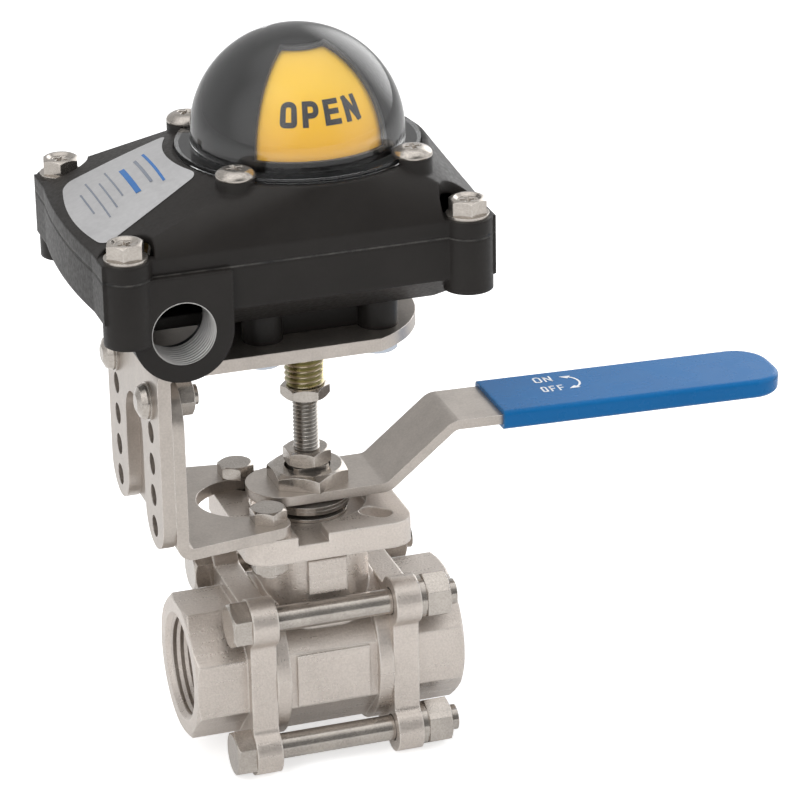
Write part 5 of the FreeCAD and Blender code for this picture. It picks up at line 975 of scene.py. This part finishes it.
@dataclass
class CoverScrews:
    """The hexagon bolts at the cover's corners and the pan head screws round the dome."""

    wardrobe: Wardrobe
    across_flats: float = 10.0
    bolt_head: float = 4.6
    bolt_turn: float = 10.0
    bolt_turn_step: float = 7.0
    bolt_shank: float = 3.0
    corner_slope: float = 0.75
    corner_start: float = 0.96
    rim_shares: tuple[float, float] = (0.93, 0.8)
    dish_share: float = 0.62
    dish_depth: float = 0.75
    washer_radius: float = 6.3
    pan_reach: float = 5.9
    pan_radius: float = 5.85
    pan_height: float = 2.9
    pan_shank: float = 2.0
    pan_profile: tuple[tuple[float, float], ...] = (
        (0.97, 0.0), (1.0, 0.35), (1.0, 0.8), (0.96, 1.35), (0.87, 1.9), (0.74, 2.35),
        (0.6, 2.62), (0.48, 2.75))
    recess_arm: float = 2.5
    recess_half: float = 0.72
    recess_depth: float = 1.7
    recess_floor: float = 0.55
    bolt_recess_turn: tuple[float, float] = (20.0, 31.0)
    pan_recess_turn: tuple[float, float] = (12.0, 38.0)

    @staticmethod
    def places(node: str, reach: float) -> list[tuple[float, float]]:
        """Work out the places of four screws from their node.

        Args:
            node: Name of the CAD node.
            reach: Distance from a screw's axis to the node's nearest sides.

        Returns:
            The places in plan.
        """
        low, high = corners(node)
        return [(x, y) for x in (low.x + reach, high.x - reach)
                for y in (low.y + reach, high.y - reach)]

    def recess(self, shell: Shell, ring: Sequence[bmesh.types.BMVert], x: float, y: float,
               top: float, turn: float) -> None:
        """Close a head's top with a cross recess.

        Args:
            shell: The mesh.
            ring: The loop round the flat of the head.
            x: Middle of the head, along X.
            y: Middle of the head, along Y.
            top: Height of the flat.
            turn: Turn of the cross, in degrees.
        """
        a, w = self.recess_arm, self.recess_half
        plan = [(a, -w), (a, w), (w, w), (w, a), (-w, a), (-w, w), (-a, w), (-a, -w), (-w, -w),
                (-w, -a), (w, -a), (w, -w)]
        c, s = math.cos(math.radians(turn)), math.sin(math.radians(turn))

        def level(share: float, z: float) -> list[bmesh.types.BMVert]:
            """Add the cross at one height."""
            return shell.loop((x + share * (px * c - py * s), y + share * (px * s + py * c), z)
                              for px, py in plan)

        mouth = level(1.0, top)
        shell.fill(ring, mouth)
        floor = level(self.recess_floor, top - self.recess_depth)
        shell.bridge(mouth, floor)
        shell.close(floor)

    def hexagon(self, x: float, y: float, z: float, turn: float,
                slope: float = 0.0) -> list[tuple[float, float, float]]:
        """Give points round a level hexagon whose corners may drop.

        Args:
            x: Middle, along X.
            y: Middle, along Y.
            z: Height.
            turn: Turn of the hexagon, in radians.
            slope: How far the corners drop for their distance past the round part.

        Returns:
            The points, counter-clockwise.
        """
        half = self.across_flats / 2
        points = []
        for step in range(ROUND_STEPS):
            angle = FULL_TURN * step / ROUND_STEPS
            radius = half / math.cos(angle % (math.pi / 3) - math.pi / 6)
            drop = (radius - half * self.corner_start) * slope
            points.append((x + radius * math.cos(angle + turn),
                           y + radius * math.sin(angle + turn), z - drop))
        return points

    def bolts(self) -> None:
        """Build the four hexagon bolts with their dished heads."""
        low, high = corners("cover_bolts")
        seat = high.z - self.bolt_head
        dish = high.z - self.dish_depth
        half = self.across_flats / 2
        first_turn, turn_step = self.bolt_recess_turn
        shell = Shell()
        for index, (x, y) in enumerate(self.places("cover_bolt_washers", self.washer_radius)):
            turn = math.radians(self.bolt_turn + self.bolt_turn_step * index)
            outlines = [
                circle(x, y, low.z, self.bolt_shank), circle(x, y, seat, self.bolt_shank),
                self.hexagon(x, y, seat, turn),
                self.hexagon(x, y, high.z, turn, self.corner_slope),
                *(circle(x, y, high.z, half * share, turn) for share in self.rim_shares),
                circle(x, y, dish, half * self.dish_share, turn)]
            loops = [shell.loop(points) for points in outlines]
            shell.close(loops[0])
            shell.stack(loops)
            self.recess(shell, loops[-1], x, y, dish, first_turn + turn_step * index)
        piece = shell.finish("cover_hexagon_bolts", Body.FIXED, "stainless", "cover_bolts")
        self.wardrobe.dress(piece, Finish.TURNED)

    def pans(self) -> None:
        """Build the four pan head screws."""
        low, high = corners("dome_screws")
        seat = high.z - self.pan_height
        first_turn, turn_step = self.pan_recess_turn
        shell = Shell()
        for index, (x, y) in enumerate(self.places("dome_screws", self.pan_reach)):
            outlines = [
                circle(x, y, low.z, self.pan_shank), circle(x, y, seat, self.pan_shank),
                *(circle(x, y, seat + rise, self.pan_radius * share)
                  for share, rise in self.pan_profile)]
            loops = [shell.loop(points) for points in outlines]
            shell.close(loops[0])
            shell.stack(loops)
            self.recess(shell, loops[-1], x, y, seat + self.pan_profile[-1][1],
                        first_turn + turn_step * index)
        piece = shell.finish("dome_pan_screws", Body.FIXED, "stainless", "dome_screws")
        self.wardrobe.dress(piece, Finish.TURNED)

    def build(self) -> None:
        """Build all the screws."""
        self.bolts()
        self.pans()


class Surface:
    """Sets points down onto a CAD node from above, starting a little over its top."""

    start_above: float = 0.01

    def __init__(self, node: str) -> None:
        """Keep the node's surface for ray tests.

        Args:
            node: Name of the CAD node.
        """
        graph = bpy.context.evaluated_depsgraph_get()
        self.tree = BVHTree.FromObject(frame["nodes"][node], graph)
        self.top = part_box(node)[1].z + self.start_above

    def settle(self, x: float, y: float, lift: float) -> Vector:
        """Give the point of the surface under a place, lifted along its normal.

        Args:
            x: Place along X, in millimetres.
            y: Place along Y, in millimetres.
            lift: Distance above the surface, in millimetres.

        Returns:
            The point, in millimetres.

        Raises:
            ValueError: If the node has no surface there.
        """
        start = Vector((x * MM, y * MM, self.top))
        place, normal, _, _ = self.tree.ray_cast(start, Vector((0, 0, -1)))
        if place is None:
            raise ValueError(f"no surface under {x:.1f}, {y:.1f}")
        return (place + normal * lift * MM) / MM


@dataclass
class LabelPlate:
    """The silver label on the cover's left slope, with blank ruled lines."""

    wardrobe: Wardrobe
    outer_front: tuple[float, float] = (-66.1, -29.4)
    outer_middle: tuple[float, float] = (-69.3, -4.4)
    outer_back: tuple[float, float] = (-65.4, 22.7)
    inner_front: tuple[float, float] = (-34.2, -15.6)
    inner_back: tuple[float, float] = (-33.4, 22.7)
    corner: float = 0.09
    corner_steps: int = 8
    edge_step: float = 0.04
    loops: int = 16
    lift: float = 0.14
    ink_lift: float = 0.07
    line_steps: int = 28
    grey_lines: tuple[tuple[float, float, float, float], ...] = (
        (-46.2, -7.5, 12.0, 0.9), (-54.6, -6.5, 15.0, 0.5), (-57.6, -11.5, 9.5, 0.5),
        (-60.6, -15.0, 14.5, 0.5), (-63.6, -8.0, 8.5, 0.5))
    blue_lines: tuple[tuple[float, float, float, float], ...] = (
        (-43.2, -10.5, 14.0, 0.8), (-50.6, -9.5, 10.5, 1.6))

    def place(self, across: float, along: float) -> tuple[float, float]:
        """Give the plan place of a point of the label.

        Args:
            across: Share from the outer edge to the inner one.
            along: Share from the front to the back.

        Returns:
            The place in plan.
        """
        bow = 4 * along * (1 - along)
        outer = [a + (b - a) * along for a, b in zip(self.outer_front, self.outer_back)]
        outer[0] += bow * (self.outer_middle[0] - (self.outer_front[0] + self.outer_back[0]) / 2)
        angles = [math.atan2(p[1], p[0]) % FULL_TURN for p in (self.inner_front, self.inner_back)]
        reach = [math.hypot(*p) for p in (self.inner_front, self.inner_back)]
        angle = angles[0] + (angles[1] - angles[0]) * along
        radius = reach[0] + (reach[1] - reach[0]) * along
        inner = (radius * math.cos(angle), radius * math.sin(angle))
        return (outer[0] + (inner[0] - outer[0]) * across,
                outer[1] + (inner[1] - outer[1]) * across)

    def outline(self) -> list[tuple[float, float]]:
        """Give the label's outline with rounded corners.

        Returns:
            The points, in shares across and along.
        """
        points = []
        for sx, sy, start in ((1, 1, 0.0), (0, 1, 0.25), (0, 0, 0.5), (1, 0, 0.75)):
            middle = (sx + (1 - 2 * sx) * self.corner, sy + (1 - 2 * sy) * self.corner)
            for i in range(self.corner_steps + 1):
                angle = FULL_TURN * (start + 0.25 * i / self.corner_steps)
                points.append((middle[0] + self.corner * math.cos(angle),
                               middle[1] + self.corner * math.sin(angle)))
        dense = []
        for i, first in enumerate(points):
            second = points[(i + 1) % len(points)]
            parts = max(1, round(math.dist(first, second) / self.edge_step))
            for k in range(parts):
                dense.append(tuple(a + (b - a) * k / parts for a, b in zip(first, second)))
        return dense

    def strip(self, surface: Surface, shell: Shell, line: Sequence[float]) -> None:
        """Add one ruled line to the label.

        Args:
            surface: The cover's surface.
            shell: The mesh.
            line: Its place along X, its front end, its back end and its width.
        """
        middle, front, back, width = line
        count = self.line_steps
        rails: list[list[bmesh.types.BMVert]] = []
        for side in (-0.5, 0.5):
            rails.append(shell.loop(
                surface.settle(middle + side * width, front + (back - front) * i / count,
                               self.lift + self.ink_lift) for i in range(count + 1)))
        shell.ribbon(*rails)

    def build(self) -> None:
        """Build the foil and its ruled lines."""
        surface = Surface("cover")
        outline = self.outline()
        shell = Shell()
        rings = []
        for level in range(1, self.loops + 1):
            share = level / self.loops
            rings.append(shell.loop(
                surface.settle(*self.place(0.5 + (a - 0.5) * share, 0.5 + (b - 0.5) * share),
                               self.lift) for a, b in outline))
        centre = shell.loop([surface.settle(*self.place(0.5, 0.5), self.lift)])[0]
        for i, vertex in enumerate(rings[0]):
            shell.mesh.faces.new((centre, vertex, rings[0][(i + 1) % len(outline)]))
        shell.stack(rings)
        foil = shell.finish("label_foil", Body.FIXED, "stainless", solid=False)
        self.wardrobe.dress(foil, Finish.PLATE)
        for name, lines, slot, ink in (
                ("label_rules", self.grey_lines, "black_plastic", Finish.GREY_INK),
                ("label_bands", self.blue_lines, "blue_vinyl", Finish.BLUE_INK)):
            printed = Shell()
            for line in lines:
                self.strip(surface, printed, line)
            piece = printed.finish(name, Body.FIXED, slot, solid=False)
            self.wardrobe.dress(piece, ink)


STEM = ((0.0, 0.0), (0.0, 1.0))
RIGHT_STEM = ((1.0, 0.0), (1.0, 1.0))
STROKES: Mapping[str, tuple[tuple[tuple[float, float], ...], ...]] = {
    "E": (STEM, ((0.0, 1.0), (1.0, 1.0)), ((0.0, 0.52), (0.9, 0.52)), ((0.0, 0.0), (1.0, 0.0))),
    "F": (STEM, ((0.0, 1.0), (1.0, 1.0)), ((0.0, 0.5), (0.85, 0.5))),
    "H": (STEM, RIGHT_STEM, ((0.0, 0.5), (1.0, 0.5))),
    "N": (STEM, RIGHT_STEM, ((0.0, 1.0), (1.0, 0.0))),
    "O": (((0.5, 0.0), (1.0, 0.0), (1.0, 1.0), (0.0, 1.0), (0.0, 0.0), (0.5, 0.0)),),
    "P": (STEM, ((0.0, 1.0), (1.0, 1.0), (1.0, 0.42), (0.0, 0.42))),
    "S": (((1.0, 0.85), (1.0, 1.0), (0.0, 1.0), (0.0, 0.5), (1.0, 0.5), (1.0, 0.0),
           (0.0, 0.0), (0.0, 0.15)),),
    "T": (((0.5, 0.0), (0.5, 1.0)), ((0.0, 1.0), (1.0, 1.0))),
    "U": (((0.0, 1.0), (0.0, 0.0), (1.0, 0.0), (1.0, 1.0)),)}


@dataclass
class Word:
    """A plain word in narrow block letters, as a flat mesh that is laid on a curved face."""

    text: str
    width: float
    height: float
    stroke: float = 1.6
    gap: float = 1.5
    bend: float = 2.4
    bend_steps: int = 8
    point_gap: float = 0.4

    def path(self, stroke: Sequence[tuple[float, float]], left: float, across: float,
             up: float) -> list[Vector]:
        """Give a stroke's middle line with rounded bends, in millimetres.

        Args:
            stroke: Its points as shares of the letter.
            left: Left end of the letter's middle lines.
            across: Width of the letter's middle lines.
            up: Height of the letter's middle lines.

        Returns:
            The points, close together.
        """
        points = [Vector((left + x * across, (y - 0.5) * up)) for x, y in stroke]
        rounded = [points[0]]
        for before, here, after in zip(points, points[1:], points[2:]):
            back, ahead = before - here, after - here
            reach = min(self.bend, back.length * 0.5, ahead.length * 0.5)
            start = here + back.normalized() * reach
            end = here + ahead.normalized() * reach
            for step in range(self.bend_steps + 1):
                t = step / self.bend_steps
                rounded.append(start * (1 - t) ** 2 + here * 2 * t * (1 - t) + end * t ** 2)
        rounded.append(points[-1])
        dense = [rounded[0]]
        for first, second in zip(rounded, rounded[1:]):
            parts = max(1, math.ceil((second - first).length / self.point_gap))
            dense.extend(first.lerp(second, k / parts) for k in range(1, parts + 1))
        return [p for i, p in enumerate(dense)
                if i == 0 or (p - dense[i - 1]).length > SAME_PLACE]

    def flat(self) -> Shell:
        """Give the word's strokes as flat bands, centred on zero.

        Returns:
            The mesh.
        """
        shell = Shell()
        count = len(self.text)
        letter = (self.width - self.gap * (count - 1)) / count
        up, across = self.height - self.stroke, letter - self.stroke
        for index, name in enumerate(self.text):
            left = -self.width / 2 + index * (letter + self.gap) + self.stroke / 2
            for stroke in STROKES[name]:
                points = self.path(stroke, left, across, up)
                if (points[0] - points[-1]).length > SAME_PLACE:
                    points[0] = points[0] + (points[0] - points[1]).normalized() * self.stroke / 2
                    points[-1] = points[-1] + (
                        points[-1] - points[-2]).normalized() * self.stroke / 2
                rails: list[list[bmesh.types.BMVert]] = [[], []]
                for i, point in enumerate(points):
                    run = points[min(i + 1, len(points) - 1)] - points[max(i - 1, 0)]
                    aside = Vector((-run.y, run.x)).normalized() * self.stroke / 2
                    for rail, sign in zip(rails, (-1, 1)):
                        rail.append(shell.mesh.verts.new((point + aside * sign).to_3d()))
                shell.ribbon(*rails)
        return shell

    def lay(self, name: str, body: Body, slot: str,
            laid: Callable[[float, float], Vector]) -> bpy.types.Object:
        """Lay the word on a face.

        Args:
            name: Name of the piece.
            body: The body that it rides on.
            slot: Its material slot.
            laid: Gives the point of the face for a place in the flat word.

        Returns:
            The object.
        """
        shell = self.flat()
        for vertex in shell.mesh.verts:
            vertex.co = laid(vertex.co.x, vertex.co.y)
        return shell.finish(name, body, slot, solid=False)


@dataclass
class Indicator:
    """The black print inside the dome and the words on the turning indicator."""

    wardrobe: Wardrobe
    centre_z: float = 167.5
    dome_inside: float = 29.5
    print_depth: float = 0.12
    print_bottom: float = 165.6
    mask_skin: float = 0.08
    word_width: float = 23.4
    word_height: float = 7.5
    word_rise: float = 27.3
    word_lift: float = 0.07
    words: tuple[tuple[int, str], ...] = ((-90, "OPEN"), (90, "OPEN"), (0, "SHUT"), (180, "SHUT"))

    def dome_print(self) -> None:
        """Build the ink on the dome's inner face, with the windows of the mask behind it."""
        high = corners("indicator_mask")[1]
        outside = max(high.x, high.y) - self.mask_skin
        shell = Shell(frame["nodes"]["indicator_mask"].data)
        centre = Vector((0.0, 0.0, self.centre_z))
        spare = [face for face in shell.mesh.faces
                 if face.calc_center_median().z < self.print_bottom
                 or any((v.co - centre).length < outside for v in face.verts)]
        bmesh.ops.delete(shell.mesh, geom=spare, context="FACES")
        for vertex in shell.mesh.verts:
            away = vertex.co - centre
            vertex.co = centre + away.normalized() * (self.dome_inside + self.print_depth)
        piece = shell.finish("dome_print", Body.FIXED, "black_plastic", solid=False)
        self.wardrobe.dress(piece, Finish.MASK)

    def build(self) -> None:
        """Print the dome, and lay the words on the front, back and both sides."""
        self.dome_print()
        radius = corners("indicator_rotor")[1].x + self.word_lift
        level = radius * math.cos(math.radians(self.word_rise))
        for side, text in self.words:

            def wrapped(u: float, v: float) -> Vector:
                """Give the point of the indicator for a place in the word.

                Args:
                    u: Place along the word, from its middle.
                    v: Place up the word, from its middle.

                Returns:
                    The point, in millimetres.
                """
                around = math.radians(side) + u / level
                rise = math.radians(self.word_rise) + v / radius
                return Vector((radius * math.cos(rise) * math.cos(around),
                               radius * math.cos(rise) * math.sin(around),
                               self.centre_z + radius * math.sin(rise)))

            name = f"word_{text.lower()}_{side % 360}"
            word = Word(text, self.word_width, self.word_height)
            piece = word.lay(name, Body.DRIVE, "black_plastic", wrapped)
            self.wardrobe.dress(piece, Finish.DARK_INK)


@dataclass
class GripPrint:
    """The words ON and OFF and the double arrow on the handle's grip."""

    wardrobe: Wardrobe
    left: float = 75.4
    words: tuple[tuple[str, float, float], ...] = (("ON", 5.9, 7.3), ("OFF", 7.3, -0.3))
    letter_height: float = 4.2
    letter_stroke: float = 0.6
    letter_gap: float = 0.75
    letter_bend: float = 1.3
    arrow_x: float = 83.9
    arrow_y: float = 3.1
    arrow_radius: float = 4.9
    arrow_reach: float = 52.0
    arrow_steps: int = 30
    line_width: float = 0.7
    head_width: float = 2.5
    head_length: float = 3.2
    lift: float = 0.07

    def arrow(self, surface: Surface) -> bpy.types.Object:
        """Build the curved double arrow.

        Args:
            surface: The grip's surface.

        Returns:
            The object.
        """
        shell = Shell()
        rails = []
        spans = self.arrow_steps
        reach = math.radians(self.arrow_reach)
        for radius in (self.arrow_radius - self.line_width / 2,
                       self.arrow_radius + self.line_width / 2):
            angles = [-reach + 2 * reach * i / spans for i in range(spans + 1)]
            rails.append(shell.loop(self.spot(surface, radius, angle) for angle in angles))
        shell.ribbon(*rails)
        tip = reach + self.head_length / self.arrow_radius
        for sign in (-1, 1):
            base = [self.spot(surface, self.arrow_radius + half * self.head_width, sign * reach)
                    for half in (-0.5, 0.5)]
            base.append(self.spot(surface, self.arrow_radius, sign * tip))
            shell.close(shell.loop(base))
        return shell.finish("grip_arrow", Body.DRIVE, "seat_plastic", solid=False)

    def spot(self, surface: Surface, radius: float, angle: float) -> Vector:
        """Give a point of the grip on a circle about the arrow's centre."""
        return surface.settle(self.arrow_x + radius * math.cos(angle),
                              self.arrow_y + radius * math.sin(angle), self.lift)

    def build(self) -> None:
        """Lay the words and the arrow on the grip."""
        surface = Surface("handle_sleeve")
        for text, width, y in self.words:

            def laid(u: float, v: float) -> Vector:
                """Give the point of the grip for a place in the word."""
                return surface.settle(self.left + width / 2 + u, y + v, self.lift)

            word = Word(text, width, self.letter_height, self.letter_stroke, self.letter_gap,
                        self.letter_bend)
            piece = word.lay(f"grip_word_{text.lower()}", Body.DRIVE, "seat_plastic", laid)
            self.wardrobe.dress(piece, Finish.WHITE_INK)
        self.wardrobe.dress(self.arrow(surface), Finish.WHITE_INK)


@dataclass
class GripTip:
    """The grip's skin round the two corners of its closed end."""

    wardrobe: Wardrobe
    centre_x: float = 141.4
    centre_y: float = 3.0
    radius: float = 10.52
    low: float = 67.47
    high: float = 70.78
    fall: float = 0.0244
    first_angle: float = 20.0
    last_angle: float = 76.0
    steps: int = 24

    def corner(self, shell: Shell, side: int) -> None:
        """Add the skin of one corner.

        Args:
            shell: The mesh.
            side: -1 for the front corner, 1 for the back one.
        """
        tip = self.centre_x + self.radius
        rails = []
        for level in (self.low, self.high):
            points = []
            for step in range(self.steps + 1):
                share = step / self.steps
                angle = math.radians(
                    self.first_angle + (self.last_angle - self.first_angle) * share)
                x = self.centre_x + self.radius * math.cos(angle) + self.fall * (level - self.low)
                y = side * (self.centre_y + self.radius * math.sin(angle))
                points.append((x, y, level + self.fall * (tip - x)))
            rails.append(shell.loop(points))
        shell.ribbon(*rails, turned=side < 0)

    def build(self) -> None:
        """Build the skin of both corners."""
        shell = Shell()
        for side in (-1, 1):
            self.corner(shell, side)
        piece = shell.finish("grip_tip_skin", Body.DRIVE, "blue_vinyl", solid=False)
        self.wardrobe.dress(piece, Finish.VINYL)


@dataclass(frozen=True)
class Glow:
    """A bright stretch of the surroundings, seen only in reflections."""

    towards: tuple[float, float, float]
    strength: float
    rim: float


@dataclass(frozen=True)
class Lamp:
    """A soft lamp, with its place and size in metres and its power in watts."""

    name: str
    place: tuple[float, float, float]
    size: tuple[float, float]
    power: float


@dataclass
class Studio:
    """Floor, background, soft lamps and the camera."""

    elevation: float = 23.0037
    azimuth: float = 17.8767
    roll: float = -1.07588
    focal_pixels: float = 3844.06
    distance: float = 1185.407
    shift_right: float = 27.001
    shift_up: float = 75.287
    frame_pixels: float = 800.0
    sensor: float = 36.0
    sight: float = 50.0
    floor_half: float = 6000.0
    floor_gap: float = 0.3
    floor_seen: float = 0.62
    floor_mirrored: float = 0.2
    floor_colour: tuple[float, float, float, float] = (0.86, 0.86, 0.86, 1.0)
    room_span: tuple[float, float] = (-0.9, 0.6)
    room_front: float = 0.16
    room_back: float = 0.6
    room_plain: float = 0.45
    glows: tuple[Glow, ...] = (
        Glow((-0.75, -0.5, 0.43), 1.1, 0.66), Glow((0.88, -0.4, 0.25), 0.8, 0.66),
        Glow((0.0, -0.1, 0.99), 1.1, 0.6), Glow((0.74, 0.6, 0.3), 2.6, 0.84))
    lamps: tuple[Lamp, ...] = (
        Lamp("left softbox", (-1.1, -0.9, 1.0), (0.8, 1.0), 10.5),
        Lamp("right softbox", (1.25, -0.55, 0.75), (0.6, 1.0), 6.5),
        Lamp("top softbox", (0.0, 0.35, 1.5), (1.2, 0.8), 9.0))
    target: tuple[float, float, float] = (0.01, 0.0, 0.085)

    def camera(self) -> None:
        """Set the camera at the photograph's viewing angle."""
        rise, turn, roll = (math.radians(v) for v in (self.elevation, self.azimuth, self.roll))
        back = Vector((-math.sin(turn) * math.cos(rise), -math.cos(turn) * math.cos(rise),
                       math.sin(rise)))
        right = Vector((math.cos(turn), -math.sin(turn), 0.0))
        up = right.cross(-back)
        level = right * math.cos(roll) + up * math.sin(roll)
        upright = up * math.cos(roll) - right * math.sin(roll)
        place = (back * self.distance + level * self.shift_right + upright * self.shift_up) * MM
        data = bpy.data.cameras.new("camera")
        data.sensor_width = self.sensor
        data.lens = self.focal_pixels / self.frame_pixels * self.sensor
        data.clip_end = self.sight
        holder = bpy.data.objects.new("camera", data)
        bpy.context.scene.collection.objects.link(holder)
        matrix = holder.matrix_world.copy()
        for column, vector in enumerate((level, upright, back, place)):
            for row in range(3):
                matrix[row][column] = vector[row]
        holder.matrix_world = matrix
        bpy.context.scene.camera = holder

    def floor(self) -> None:
        """Lay the plain pale floor, which shows white and keeps the object's shadow."""
        height = CAD_BOX[0].z / MM - self.floor_gap
        half = self.floor_half
        mesh = bmesh.new()
        loop = [mesh.verts.new((x * half * MM, y * half * MM, height * MM))
                for x, y in ((-1, -1), (1, -1), (1, 1), (-1, 1))]
        mesh.faces.new(loop)
        data = bpy.data.meshes.new("floor")
        mesh.to_mesh(data)
        mesh.free()
        piece = bpy.data.objects.new("floor", data)
        bpy.context.scene.collection.objects.link(piece)
        material, sheet = start_material("pale floor")
        path = sheet.add("ShaderNodeLightPath").outputs
        seen = sheet.reckon("ADD", path["Is Camera Ray"], path["Is Transmission Ray"], clamp=True)
        mirrored = sheet.reckon("MULTIPLY", path["Is Glossy Ray"], self.floor_mirrored)
        lit = sheet.reckon("ADD", sheet.reckon("MULTIPLY", seen, self.floor_seen), mirrored)
        white = sheet.add("ShaderNodeCombineColor", {0: lit, 1: lit, 2: lit}).outputs[0]
        end_material(sheet, {"Base Color": self.floor_colour, "Roughness": 0.9,
                             "Specular IOR Level": 0.0, "Emission Color": white,
                             "Emission Strength": 1.0})
        data.materials.append(material)

    def world(self) -> None:
        """Make the surroundings: white where seen, dimmer in front as in a real room."""
        world = bpy.data.worlds.new("studio")
        world.use_nodes = True
        world.node_tree.nodes.clear()
        sheet = Sheet(world.node_tree)
        way = sheet.add("ShaderNodeTexCoord").outputs["Generated"]
        room = sheet.spread(sheet.apart(way)[1], *self.room_span, self.room_front,
                            self.room_back)
        for glow in self.glows:
            near = sheet.add("ShaderNodeVectorMath", {0: way, 1: glow.towards},
                             operation="DOT_PRODUCT").outputs["Value"]
            shine = sheet.add("ShaderNodeMapRange", {
                "Value": near, "From Min": glow.rim, "From Max": 1.0, "To Max": glow.strength},
                interpolation_type="SMOOTHSTEP").outputs["Result"]
            room = sheet.reckon("ADD", room, shine)
        path = sheet.add("ShaderNodeLightPath").outputs
        seen = sheet.reckon("ADD", path["Is Camera Ray"], path["Is Transmission Ray"], clamp=True)
        level = sheet.add("ShaderNodeMix", {
            0: path["Is Glossy Ray"], 2: self.room_plain, 3: room}).outputs[0]
        level = sheet.add("ShaderNodeMix", {0: seen, 2: level, 3: 1.0}).outputs[0]
        background = sheet.add("ShaderNodeBackground", {
            "Color": (1.0, 1.0, 1.0, 1.0), "Strength": level})
        sheet.add("ShaderNodeOutputWorld", {"Surface": background.outputs[0]})
        bpy.context.scene.world = world

    def hang(self, lamp: Lamp) -> None:
        """Hang one soft lamp that faces the object.

        Args:
            lamp: The lamp.
        """
        data = bpy.data.lights.new(lamp.name, "AREA")
        data.shape = "RECTANGLE"
        data.size, data.size_y = lamp.size
        data.energy = lamp.power
        holder = bpy.data.objects.new(lamp.name, data)
        bpy.context.scene.collection.objects.link(holder)
        holder.location = lamp.place
        holder.visible_glossy = False
        holder.visible_transmission = False
        aim = Vector(self.target) - Vector(lamp.place)
        holder.rotation_euler = aim.to_track_quat("-Z", "Y").to_euler()

    def build(self) -> None:
        """Set up the whole studio."""
        bpy.context.scene.view_settings.view_transform = "Standard"
        self.camera()
        self.floor()
        self.world()
        for lamp in self.lamps:
            self.hang(lamp)


def main() -> None:
    """Dress the CAD nodes and build every piece of the scene."""
    logging.basicConfig(level=logging.INFO)
    wardrobe = Wardrobe()
    wardrobe.dress_nodes()
    ThreadedCoupling(wardrobe).build()
    CoverScrews(wardrobe).build()
    LabelPlate(wardrobe).build()
    Indicator(wardrobe).build()
    GripPrint(wardrobe).build()
    GripTip(wardrobe).build()
    Studio().build()


if __name__ == "__main__":
    main()
